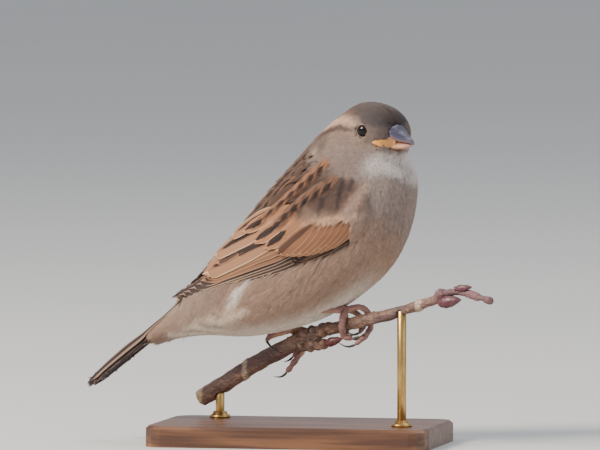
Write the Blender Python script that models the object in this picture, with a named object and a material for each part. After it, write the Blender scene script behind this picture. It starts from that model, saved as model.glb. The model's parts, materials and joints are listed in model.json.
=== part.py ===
"""A female house sparrow perched on a cut length of twig, life size, on a plain display stand.

The bird faces +X with +Y on its left and +Z up. The origin is the middle of the stand's underside.
Sizes are in millimetres and become metres where a mesh is written. The bird's outline is the outline
of its plumage. Every solid is a loft: planar rings laid through a few named stations.
"""

import math
from collections import namedtuple

import bpy
import numpy as np
from mathutils import Euler, Vector

MM = 0.001
# Between touching solids, and how much a cutter grows to leave that gap on slanting faces too.
GAP = 0.3
SOCKET_GAP = 0.42
# How far the bed cut for a wing reaches out past the wing, so that no plumage lies over it.
WING_BED_OPENING = 4.0
LEFT, RIGHT = 1, -1
# Faces that meet at less than this many degrees are shaded as one.
CREASE = 50
SIDES = {"left": LEFT, "right": RIGHT}

# Where the head is held, and how it is turned towards the right, nodded and tilted.
HEAD_CENTRE = (25.5, -3.0, 103.7)
HEAD_TURN, HEAD_NOD, HEAD_TILT = 30.0, 3.0, 5.0

EYE_RADIUS = 2.75
EYE_PLACE = (2.9, 7.2, 2.3)
EYE_FACES = (0.25, 1.0, 0.05)
# How close to the eyeball's poles its end rings lie, in radians.
POLE = 0.08

BASE_SIZE = (96.0, 54.0, 7.0)
BASE_CORNER, BASE_EDGE = 6.0, 1.0
CORNER_STEPS = 3
ROD_RADIUS = 1.5
ROD_DEPTH = 3.0
ROD_PLACES = {"rear": -31.0, "front": 37.0}

# How often a toe's centre line is eased, and the distance between its rings in radii.
EASING_PASSES = 12
TOE_RING_STEP = 1.35
CLAW_TIP_RADIUS, BUD_TIP_RADIUS = 0.14, 0.25
CLAW_TAPER = 0.6

# How many sides each loft's rings have, and how many rings lie between two stations.
BODY_SIDES, WING_SIDES, TAIL_SIDES, BILL_SIDES = 20, 12, 10, 10
LIMB_SIDES, CLAW_SIDES, STEM_SIDES, ROD_SIDES, EYE_SIDES = 7, 5, 8, 10, 12
BODY_RINGS, BLADE_RINGS, STEM_RINGS = 3, 2, 3
EYE_RINGS, CLAW_RINGS, BUD_RINGS = 7, 6, 7

MATERIALS = {
    "plumage_brown": ((0.36, 0.27, 0.21), 0.85, 0.0),
    "plumage_wing": ((0.40, 0.25, 0.16), 0.8, 0.0),
    "plumage_tail": ((0.22, 0.16, 0.13), 0.8, 0.0),
    "bill_horn": ((0.42, 0.31, 0.28), 0.4, 0.0),
    "eye": ((0.03, 0.015, 0.01), 0.08, 0.0),
    "leg_skin": ((0.55, 0.36, 0.28), 0.5, 0.0),
    "claw_horn": ((0.05, 0.04, 0.04), 0.35, 0.0),
    "bark": ((0.30, 0.19, 0.15), 0.8, 0.0),
    "bud_scale": ((0.25, 0.05, 0.08), 0.45, 0.0),
    "stand_wood": ((0.16, 0.09, 0.05), 0.4, 0.0),
    "stand_brass": ((0.75, 0.58, 0.30), 0.3, 1.0),
}

# A ring runs from its top point to its bottom point, half_width to each side; bow arches it to one side.
Station = namedtuple("Station", "name top bottom half_width bow", defaults=(0.0,))

# The trunk from the covert tips on the tail to the collar, in the bird's own upright plane (x, z).
TRUNK = (
    Station("covert_tips", (-52.0, 37.4), (-50.4, 31.6), 5.6),
    Station("tail_coverts", (-45.4, 42.8), (-41.2, 34.8), 7.2),
    Station("rump", (-38.2, 50.2), (-30.5, 36.0), 10.2),
    Station("vent", (-32.4, 57.4), (-17.8, 35.8), 14.0),
    Station("lower_belly", (-25.6, 65.4), (-3.9, 38.4), 17.4),
    Station("belly", (-18.6, 73.6), (9.5, 43.2), 19.6),
    Station("flank", (-12.0, 81.8), (20.4, 50.2), 20.6),
    Station("breast", (-5.6, 89.2), (29.9, 58.6), 20.6),
    Station("shoulder", (0.0, 95.4), (35.9, 68.8), 19.6),
    Station("upper_breast", (3.8, 99.6), (39.0, 80.0), 17.6),
    Station("collar", (7.0, 103.2), (39.4, 90.0), 14.8),
)
# The head from nape to bill, in its own frame: x towards the bill, z up.
HEAD = (
    Station("nape", (-11.0, 6.2), (11.4, -9.2), 11.0),
    Station("crown", (-4.6, 9.9), (12.2, -7.0), 9.4),
    Station("forecrown", (2.6, 10.2), (11.7, -5.6), 9.2),
    Station("forehead", (7.8, 7.9), (11.6, -4.7), 7.7),
    Station("bill_base", (10.2, 4.6), (11.2, -3.8), 4.6),
)

# The wing from wrist to tip, right side: top and bottom edge (x, y, z), thickness and outward bow.
WING = (
    Station("wrist", (25.4, -17.0, 86.0), (27.2, -16.8, 77.4), 0.9, 0.5),
    Station("bend", (20.6, -18.2, 87.2), (25.2, -17.2, 72.4), 1.4, 1.2),
    Station("coverts", (11.2, -18.2, 86.0), (18.7, -18.5, 66.9), 1.6, 2.1),
    Station("secondaries", (-1.2, -15.9, 81.6), (6.0, -19.9, 62.0), 1.6, 2.6),
    Station("tertials", (-14.2, -10.0, 74.3), (-8.0, -18.5, 56.9), 1.4, 3.0),
    Station("tertial_tips", (-24.9, -6.8, 64.6), (-21.9, -14.4, 53.7), 1.1, 2.0),
    Station("primaries", (-34.6, -5.0, 55.2), (-32.8, -8.6, 50.9), 0.75, 0.8),
    Station("tip", (-43.7, -4.2, 48.7), (-43.6, -4.8, 48.0), 0.45, 0.1),
)
# How the wing faces, and how far the tips of each wing are shifted, from the tertials on.
WING_FACES = (0.12, -1.0, 0.35)
WING_TIP_SETTLE = {"left": (4.0, 0.0, -2.2), "right": (0.0, 0.0, 0.0)}
SETTLED_STATIONS = 4

# One half of the tail: the ridge on the midline and the outer edge (x, y, z), thickness and bow.
TAIL = (
    Station("root", (-38.4, -0.2, 45.8), (-38.4, -3.6, 42.2), 1.3, 0.3),
    Station("base", (-47.6, -0.2, 39.9), (-48.0, -5.0, 36.0), 1.15, 0.4),
    Station("middle", (-60.0, -0.2, 31.3), (-56.6, -6.4, 28.6), 0.95, 0.5),
    Station("end", (-70.2, -0.2, 21.8), (-65.2, -6.6, 21.9), 0.7, 0.4),
    Station("tip", (-73.4, -1.6, 17.9), (-68.2, -5.2, 19.4), 0.5, 0.2),
)

TAIL_FACES = (0.3, -0.55, 0.8)

# The bill in the head's frame: ridge or cutting edge above, cutting edge or keel below, face to tip.
BILL_UPPER = (
    Station("root", (8.2, 4.4), (8.2, -1.5), 4.1),
    Station("base", (10.8, 3.9), (10.8, -1.5), 4.1),
    Station("swell", (13.0, 2.75), (13.0, -1.7), 3.15),
    Station("middle", (15.0, 1.4), (15.0, -1.8), 2.15),
    Station("hook", (16.9, -0.3), (16.9, -2.05), 1.1),
    Station("tip", (18.1, -1.7), (18.05, -2.3), 0.3),
)
BILL_LOWER = (
    Station("root", (8.2, -1.8), (8.2, -4.3), 3.9),
    Station("base", (10.8, -1.8), (10.8, -4.2), 3.8),
    Station("swell", (12.8, -2.0), (12.8, -4.05), 2.9),
    Station("middle", (14.9, -2.1), (14.9, -3.7), 2.0),
    Station("tip", (17.1, -2.35), (17.1, -2.8), 0.5),
)

# The perch: each stem's centre line and radius. The spur and the shoot grow out of the twig.
Joint = namedtuple("Joint", "x y z radius")
STEMS = {
    "twig": (
        Joint(-38.3, 19.7, 13.2, 3.05),
        Joint(-28.0, 15.4, 19.3, 3.05),
        Joint(-17.7, 11.0, 25.6, 3.0),
        Joint(-6.1, 6.2, 31.6, 3.0),
        Joint(0.0, 3.7, 34.4, 3.1),
        Joint(7.4, 0.5, 37.7, 2.3),
        Joint(14.1, -2.3, 39.3, 2.15),
        Joint(21.6, -5.5, 41.3, 2.3),
        Joint(32.8, -10.2, 44.2, 2.0),
        Joint(42.0, -14.0, 47.2, 1.75),
        Joint(49.0, -17.0, 49.6, 1.7),
        Joint(51.6, -18.1, 51.0, 2.5),
        Joint(53.0, -18.7, 51.8, 2.0),
    ),
    "spur": (
        Joint(-4.0, 5.0, 33.2, 1.9),
        Joint(0.6, 2.6, 32.9, 2.1),
        Joint(4.6, 0.8, 33.0, 2.0),
        Joint(8.4, -1.0, 33.5, 1.5),
        Joint(9.6, -1.6, 33.8, 1.2),
    ),
    "shoot": (
        Joint(51.0, -17.8, 50.8, 1.3),
        Joint(55.0, -19.5, 52.3, 1.3),
        Joint(60.0, -21.6, 52.3, 1.15),
        Joint(64.6, -23.5, 51.2, 1.6),
        Joint(66.6, -24.3, 50.8, 1.0),
        Joint(69.0, -25.3, 50.1, 1.5),
        Joint(70.4, -25.9, 49.6, 0.8),
    ),
}
# Each bud's base, tip and greatest radius.
BUDS = {
    "lower": ((8.4, -2.2, 33.4), (15.6, -5.2, 35.6), 1.5),
    "side": ((50.6, -19.6, 48.6), (59.3, -23.4, 50.2), 2.0),
    "upper": ((55.8, -20.2, 53.2), (62.9, -23.3, 54.4), 1.25),
}

# Feet. Places on the twig are (along, turn, lift): how far along it from the foot, degrees from its top
# towards the bird's left, and how far clear of its bark. Each toe runs from the ball to its pad.
Toe = namedtuple("Toe", "radius joints claw_tip claw_bow")
FOOT_AT = {"left": -3.4, "right": 17.3}
BALL = {"left": (1.0, 0.0, 0.4), "right": (0.8, -4.0, 1.3)}
HEEL = {"left": (-19.5, 9.0, 43.0), "right": (-1.0, -8.6, 45.4)}
SHANK_RADIUS, BALL_RADIUS, CLAW_RADIUS = 1.3, 1.6, 0.55
# The shank's width along it, from the heel to just past the ball.
SHANK_SHARES = (0.0, 0.08, 0.2, 0.4, 0.6, 0.78, 0.9, 0.97, 1.03, 1.07)
SHANK_WIDTHS = (1.15, 1.25, 1.05, 0.95, 0.93, 0.97, 1.08, 1.12, 1.0, 0.6)
THIGH_TOP = {"left": (-10.0, 10.5, 54.0), "right": (6.0, -10.5, 56.0)}
THIGH_RADII = (6.0, 4.6, 2.6)
TOES = {
    "right": {
        "hind": Toe(
            1.15,
            ((0.4, -55, 0.4), (-0.2, -100, 0.1), (-1.4, -145, 0.4), (0.8, -172, 1.4)),
            (9.0, -184, 0.1),
            0.3,
        ),
        "inner": Toe(
            0.95,
            ((1.2, 15, 1.2), (3.2, 60, 0.3), (3.6, 110, 0.0), (2.6, 160, 0.1)),
            (0.5, 212, 0.0),
            0.3,
        ),
        "middle": Toe(
            1.05,
            ((5.0, 10, 1.6), (6.6, 62, 0.5), (6.4, 120, 0.4), (4.8, 165, 1.5), (1.8, 184, 3.2)),
            (-4.8, 190, 2.0),
            1.3,
        ),
        "outer": Toe(
            0.9,
            ((-1.2, 15, 0.9), (-2.6, 60, 0.2), (-3.0, 105, 0.0), (-2.8, 145, 0.0)),
            (-4.2, 180, 0.0),
            0.3,
        ),
    },
    "left": {
        "hind": Toe(
            1.15,
            ((-1.5, -8, 0.6), (-4.0, -10, 1.1), (-6.3, -14, 1.4), (-7.6, -32, 0.9)),
            (-3.0, -118, 0.1),
            0.5,
        ),
        "inner": Toe(
            0.95,
            ((0.4, 15, 0.6), (-0.4, 60, 0.1), (-1.4, 105, 0.0), (-3.6, 140, 0.0)),
            (-6.4, 172, 0.0),
            0.3,
        ),
        "middle": Toe(
            1.05,
            ((1.4, 20, 0.8), (1.6, 65, 0.2), (0.8, 115, 0.1), (-1.4, 158, 0.4), (-6.3, 181, 3.3)),
            (-11.6, 182, 3.1),
            0.9,
        ),
        "outer": Toe(
            0.9,
            ((2.8, 20, 0.6), (4.2, 52, 0.2), (4.6, 80, 0.0), (4.2, 104, 0.0)),
            (2.8, 124, 0.0),
            0.3,
        ),
    },
}


def clear_scene():
    """Removes what the scene starts with."""
    for obj in list(bpy.data.objects):
        bpy.data.objects.remove(obj)


def material(name):
    """The named finish as a Principled material, made once."""
    if name in bpy.data.materials:
        return bpy.data.materials[name]
    colour, roughness, metallic = MATERIALS[name]
    made = bpy.data.materials.new(name)
    made.use_nodes = True
    shader = made.node_tree.nodes["Principled BSDF"]
    shader.inputs["Base Color"].default_value = (*colour, 1.0)
    shader.inputs["Roughness"].default_value = roughness
    shader.inputs["Metallic"].default_value = metallic
    return made


def smooth_through(values, count):
    """count samples of a smooth curve through the values, which it passes at even steps."""
    values = np.array(values, float)
    ends = np.vstack([2 * values[0] - values[1], values, 2 * values[-1] - values[-2]])
    samples = []
    for place in np.linspace(0, len(values) - 1, count):
        i = min(int(place), len(values) - 2)
        t = place - i
        a, b, c, d = ends[i : i + 4]
        samples.append(
            b + 0.5 * t * (c - a + t * (2 * a - 5 * b + 4 * c - d + t * (3 * (b - c) + d - a)))
        )
    return np.array(samples)


def ring(top, bottom, side, half_width, bow, sides, open_by):
    """A closed planar ring through top and bottom. side is the unit vector of its width."""
    middle, half = (top + bottom) / 2, (top - bottom) / 2
    angles = np.arange(sides) * 2 * math.pi / sides
    out = bow * np.sin(angles) ** 2 + half_width * np.sin(angles)
    out = out + open_by * np.sqrt(np.sin(angles).clip(0.0, 1.0))
    return middle + np.cos(angles)[:, None] * half + out[:, None] * side


def station_rings(stations, count, sides, grow=0.0, open_by=0.0):
    """Rings through posed stations, each (top, bottom, side vector, half width, bow).

    They are grown all round, and open_by pushes the outer side of each further out.
    """
    rows = [np.concatenate([top, bottom, side, [width, bow]]) for top, bottom, side, width, bow in stations]
    rings = []
    for row in smooth_through(rows, count):
        top, bottom, side = row[0:3], row[3:6], row[6:9] / np.linalg.norm(row[6:9])
        rim = grow * (top - bottom) / np.linalg.norm(top - bottom)
        rings.append(ring(top + rim, bottom - rim, side, row[9] + grow, row[10], sides, open_by))
    return lengthened(rings, grow)


def tube_rings(line, radii, sides, grow=0.0):
    """Round rings along a line of points, kept from twisting, grown all round."""
    line = np.array(line, float)
    radii = np.array(radii) + grow
    ways = np.gradient(line, axis=0)
    ways /= np.linalg.norm(ways, axis=1, keepdims=True)
    across = np.cross(ways[0], (0.0, 0.0, 1.0))
    if np.linalg.norm(across) < 0.1:
        across = np.cross(ways[0], (0.0, 1.0, 0.0))
    rings = []
    angles = np.arange(sides) * 2 * math.pi / sides
    for point, way, radius in zip(line, ways, radii, strict=True):
        across = across - way * (across @ way)
        across /= np.linalg.norm(across)
        up = np.cross(across, way)
        rings.append(point + radius * (np.cos(angles)[:, None] * across + np.sin(angles)[:, None] * up))
    return lengthened(rings, grow)


def lengthened(rings, by):
    """The rings with the two end ones moved outwards along the loft."""
    longer = list(rings)
    for end, inner in ((0, 1), (-1, -2)):
        way = rings[end].mean(axis=0) - rings[inner].mean(axis=0)
        longer[end] = rings[end] + by * way / np.linalg.norm(way)
    return longer


def loft(name, rings, finish, smooth=True):
    """A closed mesh object over the rings, with a flat cap at each end."""
    sides = len(rings[0])
    points = np.concatenate(rings) * MM
    faces = [tuple(range(sides)), tuple(range(len(points) - 1, len(points) - 1 - sides, -1))]
    for row in range(len(rings) - 1):
        first = row * sides
        for i in range(sides):
            j = (i + 1) % sides
            faces.append((first + j, first + i, first + sides + i, first + sides + j))
    mesh = bpy.data.meshes.new(name)
    mesh.from_pydata(points.tolist(), [], faces)
    mesh.update()
    if signed_volume(mesh) < 0:
        mesh.flip_normals()
    obj = bpy.data.objects.new(name, mesh)
    obj.data.materials.append(material(finish))
    bpy.context.scene.collection.objects.link(obj)
    if smooth:
        mesh.shade_smooth()
        mesh.set_sharp_from_angle(angle=math.radians(CREASE))
    return obj


def signed_volume(mesh):
    """Six times the volume inside the mesh, negative where its faces point inwards."""
    mesh.calc_loop_triangles()
    return sum(
        mesh.vertices[a].co.dot(mesh.vertices[b].co.cross(mesh.vertices[c].co))
        for a, b, c in (triangle.vertices for triangle in mesh.loop_triangles)
    )


def cut(obj, cutter):
    """Takes the cutter's shape out of the object with a Boolean modifier, and hides the cutter."""
    boolean = obj.modifiers.new("clear_of_" + cutter.name, "BOOLEAN")
    boolean.operation, boolean.solver, boolean.object = "DIFFERENCE", "EXACT", cutter
    hide(cutter)


def unite(obj, other):
    """Adds the other object's shape to the object, and hides the other."""
    boolean = obj.modifiers.new("with_" + other.name, "BOOLEAN")
    boolean.operation, boolean.solver, boolean.object = "UNION", "EXACT", other
    hide(other)


def hide(helper):
    """Marks a helper, which is no part of the model."""
    helper.hide_render = True
    helper.display_type = "WIRE"


def head_pose():
    """The rotation that turns, nods and tilts the head."""
    angles = (math.radians(HEAD_TILT), math.radians(HEAD_NOD), math.radians(-HEAD_TURN))
    return np.array(Euler(angles, "XYZ").to_matrix())


def from_head(point):
    """A point of the head's frame in the bird's frame."""
    return np.array(HEAD_CENTRE) + head_pose() @ np.array(point, float)


def upright(station):
    """A trunk station posed in the bird's upright plane."""
    top, bottom = (np.array((x, 0.0, z)) for x, z in (station.top, station.bottom))
    return top, bottom, np.array((0.0, 1.0, 0.0)), station.half_width, station.bow


def in_head(station):
    """A head station posed with the head."""
    top, bottom = (from_head((x, 0.0, z)) for x, z in (station.top, station.bottom))
    return top, bottom, head_pose() @ np.array((0.0, 1.0, 0.0)), station.half_width, station.bow


def body_parts():
    """Head, neck and trunk: one loft, parted by two thin cuts."""
    posed = [upright(s) for s in TRUNK] + [in_head(s) for s in HEAD]
    rings = station_rings(posed, (len(posed) - 1) * BODY_RINGS + 1, BODY_SIDES)
    neck_from = (len(TRUNK) - 2) * BODY_RINGS + 1
    neck_to = len(TRUNK) * BODY_RINGS
    parted = {
        "trunk": rings[: neck_from + 1],
        "neck": rings[neck_from : neck_to + 1],
        "head": rings[neck_to:],
    }
    parted["neck"][0] = stepped(rings, neck_from, GAP)
    parted["head"][0] = stepped(rings, neck_to, GAP)
    return {name: loft(name, part, "plumage_brown") for name, part in parted.items()}


def stepped(rings, index, distance):
    """A ring between this one and the next, about this far on where the two lie closest."""
    here, there = rings[index], rings[index + 1]
    least = np.linalg.norm(there - here, axis=1).min()
    return here + (there - here) * min(0.8, distance / least)


def eye(side, grow=0.0, name=None):
    """An eyeball in the head."""
    x, y, z = EYE_PLACE
    centre = from_head((x, SIDES[side] * y, z))
    radius = EYE_RADIUS + grow
    poles = np.linspace(0.0, math.pi, EYE_RINGS + 1).clip(POLE, math.pi - POLE)
    outward = head_pose() @ (np.array(EYE_FACES) * (1.0, SIDES[side], 1.0))
    outward /= np.linalg.norm(outward)
    line = [centre - outward * radius * math.cos(angle) for angle in poles]
    radii = [radius * math.sin(angle) for angle in poles]
    return loft(name or "eye_" + side, tube_rings(line, radii, EYE_SIDES), "eye")


def bill(name, stations, grow=0.0, cutter_name=None):
    """One mandible."""
    count = BLADE_RINGS * (len(stations) - 1) + 1
    rings = station_rings([in_head(s) for s in stations], count, BILL_SIDES, grow)
    return loft(cutter_name or name, rings, "bill_horn")


def mirrored(point, side):
    """A point given for the right side, on the side asked for."""
    x, y, z = point
    return np.array((x, y * -SIDES[side], z))


def blade(stations, side, faces, sides, grow=0.0, open_by=0.0, settle=(0.0, 0.0, 0.0)):
    """The rings of a wing or half a tail, whose stations are given for the right side."""
    posed = []
    for place, station in enumerate(stations, SETTLED_STATIONS - len(stations) + 1):
        shift = np.array(settle) * max(0, place) / SETTLED_STATIONS
        top, bottom = (mirrored(point, side) + shift for point in (station.top, station.bottom))
        chord = (top - bottom) / np.linalg.norm(top - bottom)
        out = mirrored(faces, side)
        out = out - chord * (out @ chord)
        posed.append((top, bottom, out / np.linalg.norm(out), station.half_width, station.bow))
    count = BLADE_RINGS * (len(stations) - 1) + 1
    return station_rings(posed, count, sides, grow, open_by)


def wing(side, grow=0.0, open_by=0.0, name=None):
    """A folded wing from wrist to tip."""
    rings = blade(WING, side, WING_FACES, WING_SIDES, grow, open_by, WING_TIP_SETTLE[side])
    return loft(name or "wing_" + side, rings, "plumage_wing")


def tail_half(side, grow=0.0, name=None):
    """Half of the tail: its feathers lying in a stack."""
    rings = blade(TAIL, side, TAIL_FACES, TAIL_SIDES, grow)
    return loft(name or "tail_" + side, rings, "plumage_tail")


def stem_line(name):
    """A stem's centre line and radii, sampled evenly."""
    joints = STEMS[name]
    samples = smooth_through(joints, STEM_RINGS * (len(joints) - 1) + 1)
    return samples[:, :3], samples[:, 3]


def stem(name, grow=0.0, made_as=None):
    """One stem of the perch as a loft."""
    line, radii = stem_line(name)
    return loft(made_as or name, tube_rings(line, radii, STEM_SIDES, grow), "bark")


def perch():
    """The cut twig with the spur and the end shoot that grow out of it."""
    body = stem("twig", made_as="perch_twig")
    for name in ("spur", "shoot"):
        unite(body, stem(name))
    return body


def bud(which, clearances):
    """A pointed bud, cut clear of the stems it sits on."""
    base, tip, radius = BUDS[which]
    steps = np.linspace(0.0, 1.0, BUD_RINGS)
    line = [np.array(Vector(base).lerp(Vector(tip), t)) for t in steps]
    radii = [max(BUD_TIP_RADIUS, radius * math.sin(math.pi * t**0.75) ** 0.7) for t in steps]
    obj = loft("perch_bud_" + which, tube_rings(line, radii, STEM_SIDES), "bud_scale")
    for clearance in clearances:
        cut(obj, clearance)


def on_twig(x):
    """The twig's centre, direction, upward and leftward vectors, and radius, where it passes this x."""
    line, radii = stem_line("twig")
    place = np.interp(x, line[:, 0], np.arange(len(line)))
    centre = np.array([np.interp(place, np.arange(len(line)), line[:, i]) for i in range(3)])
    near = int(min(max(place, 1), len(line) - 2))
    way = line[near + 1] - line[near - 1]
    way /= np.linalg.norm(way)
    up = np.array((0.0, 0.0, 1.0)) - way * way[2]
    up /= np.linalg.norm(up)
    return centre, way, up, np.cross(up, way), np.interp(place, np.arange(len(line)), radii)


def round_twig(side, place, radius):
    """The centre of something of this radius at a foot's (along, turn, lift)."""
    along, turn, lift = place
    _, foot_way, _, _, _ = on_twig(FOOT_AT[side])
    centre, _, up, left, twig_radius = on_twig(FOOT_AT[side] + along * foot_way[0])
    angle = math.radians(turn)
    reach = twig_radius + radius + GAP + lift
    return centre + reach * (math.cos(angle) * up + math.sin(angle) * left)


def evened(line, step):
    """The line eased at its bends, with points about this far apart."""
    line = np.array(line)
    for _ in range(EASING_PASSES):
        line[1:-1] = (line[:-2] + 2 * line[1:-1] + line[2:]) / 4
    run = np.concatenate([[0.0], np.cumsum(np.linalg.norm(np.diff(line, axis=0), axis=1))])
    places = np.linspace(0.0, run[-1], max(4, round(run[-1] / step) + 1))
    return np.column_stack([np.interp(places, run, line[:, i]) for i in range(3)])


def toe_line(side, spec):
    """A toe's centre line from the ball to its pad."""
    joints = smooth_through((BALL[side],) + spec.joints, 12 * len(spec.joints) + 1)
    return evened([round_twig(side, place, spec.radius) for place in joints], spec.radius * TOE_RING_STEP)


def toe(side, which, grow=0.0):
    """A toe from inside the ball of the foot to its pad."""
    spec = TOES[side][which]
    line = toe_line(side, spec)
    radii = spec.radius * np.linspace(1.08, 0.9, len(line))
    radii[-1] *= 0.7
    return loft("toe_" + side + "_" + which, tube_rings(line, radii, LIMB_SIDES, grow), "leg_skin")


def claw(side, which):
    """A curved, tapering claw just clear of the toe's pad."""
    spec = TOES[side][which]
    start = np.array(spec.joints[-1], float)
    start[2] += spec.radius - CLAW_RADIUS
    end = np.array(spec.claw_tip, float)
    line = []
    for t in np.linspace(0.0, 1.0, CLAW_RINGS):
        place = start + (end - start) * t
        place[2] += spec.claw_bow * math.sin(math.pi * t)
        line.append(round_twig(side, place, CLAW_RADIUS))
    tapers = np.linspace(1.0, 0.0, CLAW_RINGS) ** CLAW_TAPER
    radii = (CLAW_RADIUS * tapers).clip(CLAW_TIP_RADIUS)
    return loft("claw_" + side + "_" + which, tube_rings(line, radii, CLAW_SIDES), "claw_horn")


def ball_place(side):
    """The centre of the ball of the foot."""
    return round_twig(side, BALL[side], BALL_RADIUS * 0.7)


def shank(side, grow=0.0, name=None):
    """The scaled shank from the heel to the ball of the foot."""
    heel, ball = np.array(HEEL[side]), ball_place(side)
    line = [heel + (ball - heel) * share for share in SHANK_SHARES]
    radii = [SHANK_RADIUS * width for width in SHANK_WIDTHS]
    return loft(name or "leg_" + side, tube_rings(line, radii, LIMB_SIDES, grow), "leg_skin")


def leg(side):
    """The bare leg, one piece: the shank and its four toes."""
    body = shank(side)
    for which in TOES[side]:
        unite(body, toe(side, which))
    return body


def thigh(side, grow=0.0, name=None):
    """The feathered thigh inside the belly's plumage, down to the heel."""
    top, heel = np.array(THIGH_TOP[side]), np.array(HEEL[side])
    line = smooth_through([top, top * 0.5 + heel * 0.5, heel + (top - heel) * 0.03], 9)
    radii = smooth_through([[r] for r in THIGH_RADII], 9)[:, 0]
    return loft(name or "thigh_" + side, tube_rings(line, radii, STEM_SIDES, grow), "plumage_brown")


def rounded_base():
    """The stand's base plate with rounded corners and softened edges."""
    length, width, height = BASE_SIZE
    corners = []
    centre = np.array((length, width)) / 2 - BASE_CORNER
    for quarter, corner in enumerate(((1, 1), (-1, 1), (-1, -1), (1, -1))):
        for turn in np.linspace(quarter, quarter + 1, CORNER_STEPS + 1) * math.pi / 2:
            corners.append(centre * corner + BASE_CORNER * np.array((math.cos(turn), math.sin(turn))))
    outline = np.array(corners)
    inset = outline * (1 - 2 * BASE_EDGE / np.array((length, width)))
    levels = ((0.0, outline), (height - BASE_EDGE, outline), (height, inset))
    rings = [np.column_stack([shape, np.full(len(shape), z)]) for z, shape in levels]
    return loft("stand_base", rings, "stand_wood", smooth=False)


def rod(which, grow=0.0, name=None):
    """A pin from the base up into the twig."""
    centre, _, _, _, _ = on_twig(ROD_PLACES[which])
    foot_z = BASE_SIZE[2] - ROD_DEPTH
    line = [(centre[0], centre[1], z) for z in (foot_z, centre[2])]
    rings = tube_rings(line, [ROD_RADIUS] * 2, ROD_SIDES, grow)
    return loft(name or "stand_rod_" + which, rings, "stand_brass")


def main():
    """Builds every part in place."""
    clear_scene()
    parts = body_parts()
    head, trunk = parts["head"], parts["trunk"]
    for name, stations in (("bill_upper", BILL_UPPER), ("bill_lower", BILL_LOWER)):
        bill(name, stations)
        cut(head, bill(name, stations, SOCKET_GAP, "socket_" + name))
    for side in SIDES:
        eye(side)
        cut(head, eye(side, GAP, "socket_eye_" + side))
        wing(side)
        cut(trunk, wing(side, SOCKET_GAP, WING_BED_OPENING, "bed_wing_" + side))
        tail_half(side)
        cut(trunk, tail_half(side, SOCKET_GAP, "bed_tail_" + side))
        leg(side)
        thigh_body = thigh(side)
        clear_shank = shank(side, SOCKET_GAP, "clear_shank_" + side)
        cut(trunk, thigh(side, SOCKET_GAP, "bed_thigh_" + side))
        cut(thigh_body, clear_shank)
        cut(trunk, clear_shank)
        for which in TOES[side]:
            clear_toe = toe(side, which, SOCKET_GAP)
            cut(trunk, clear_toe)
            cut(claw(side, which), clear_toe)
    twig = perch()
    clearances = [stem(name, GAP, "clear_" + name) for name in STEMS]
    for which in BUDS:
        bud(which, clearances)
    base = rounded_base()
    for which in ROD_PLACES:
        rod(which)
        cut(twig, rod(which, GAP, "hole_in_twig_" + which))
        cut(base, rod(which, GAP, "hole_in_base_" + which))


main()
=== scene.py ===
"""A life-size female house sparrow on a cut twig: skin, coat, flight feathers, bill, eyes, feet and stand."""
import heapq
import json
import logging
import math
from dataclasses import dataclass
from enum import Enum

import bmesh
import bpy
import numpy as np
from mathutils import Euler, Matrix, Vector
from mathutils.bvhtree import BVHTree

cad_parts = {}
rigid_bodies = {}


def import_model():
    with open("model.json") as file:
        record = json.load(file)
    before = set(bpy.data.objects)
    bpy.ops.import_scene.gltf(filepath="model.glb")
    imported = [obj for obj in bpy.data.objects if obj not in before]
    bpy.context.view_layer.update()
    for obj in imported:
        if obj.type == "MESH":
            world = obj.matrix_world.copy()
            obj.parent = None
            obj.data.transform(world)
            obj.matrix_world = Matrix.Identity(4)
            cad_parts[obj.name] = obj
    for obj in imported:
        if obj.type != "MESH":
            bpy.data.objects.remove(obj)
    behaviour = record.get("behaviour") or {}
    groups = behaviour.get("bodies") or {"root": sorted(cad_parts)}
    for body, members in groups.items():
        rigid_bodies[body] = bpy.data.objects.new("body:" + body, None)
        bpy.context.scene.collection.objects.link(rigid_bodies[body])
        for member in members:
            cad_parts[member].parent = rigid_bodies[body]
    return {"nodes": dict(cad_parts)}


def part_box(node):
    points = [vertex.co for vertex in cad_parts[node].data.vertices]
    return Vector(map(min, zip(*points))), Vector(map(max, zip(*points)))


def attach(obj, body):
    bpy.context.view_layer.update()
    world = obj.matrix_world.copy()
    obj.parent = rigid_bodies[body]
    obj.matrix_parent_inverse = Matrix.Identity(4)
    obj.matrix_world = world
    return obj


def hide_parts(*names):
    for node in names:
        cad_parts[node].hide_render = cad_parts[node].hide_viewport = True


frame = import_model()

MM = 0.001
SEED = 20
FLESH = ("head", "neck", "trunk", "thigh_left", "thigh_right")
WINGS = ("wing_left", "wing_right")
TAILS = ("tail_left", "tail_right")
HALVES = ("upper", "lower")
HEAD_CENTRE = (25.5, -3.0, 103.7)
HEAD_ANGLES = (5.0, 3.0, -30.0)
EYE_PLACE = (2.9, 7.2, 2.3)
EYE_FACES = (0.25, 1.0, 0.05)
EYE_RADIUS = 2.75
BILL_ROOT = (9.6, 0.0, 0.6)
GAPE_LINE = ((12.1, -1.3), (11.2, -1.4), (10.0, -1.4), (8.7, -1.2), (7.2, -1.0))
TUFT_FORMS = 5
TUFT_SPREAD = 0.18
BARB_SLANT = 0.22
CLEARANCE = 0.014
SKIN_MAP = "OFBake"
PATCH = 0.003
TAIL_ROOT = (-37.0, -0.2, 47.4)
TAIL_END = (-73.0, -0.5, 19.0)
THIGH_NUMBERS = (3, 4)
WING_NUMBERS = (5, 6)
BARE_NUMBERS = (5, 6, 7, 8)
SPARE = ("lie", "up", "reach", "layer", "form", "along", "across", "height")

Array = np.ndarray
Colour = tuple[float, float, float]
Flat = tuple[float, float]
Socket = bpy.types.NodeSocket

log = logging.getLogger("sparrow")


class Side(Enum):
    """The two sides of the bird, with the sign of their y."""

    LEFT = 1
    RIGHT = -1

    @property
    def word(self) -> str:
        """The side's name as the nodes write it."""
        return self.name.lower()


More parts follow.
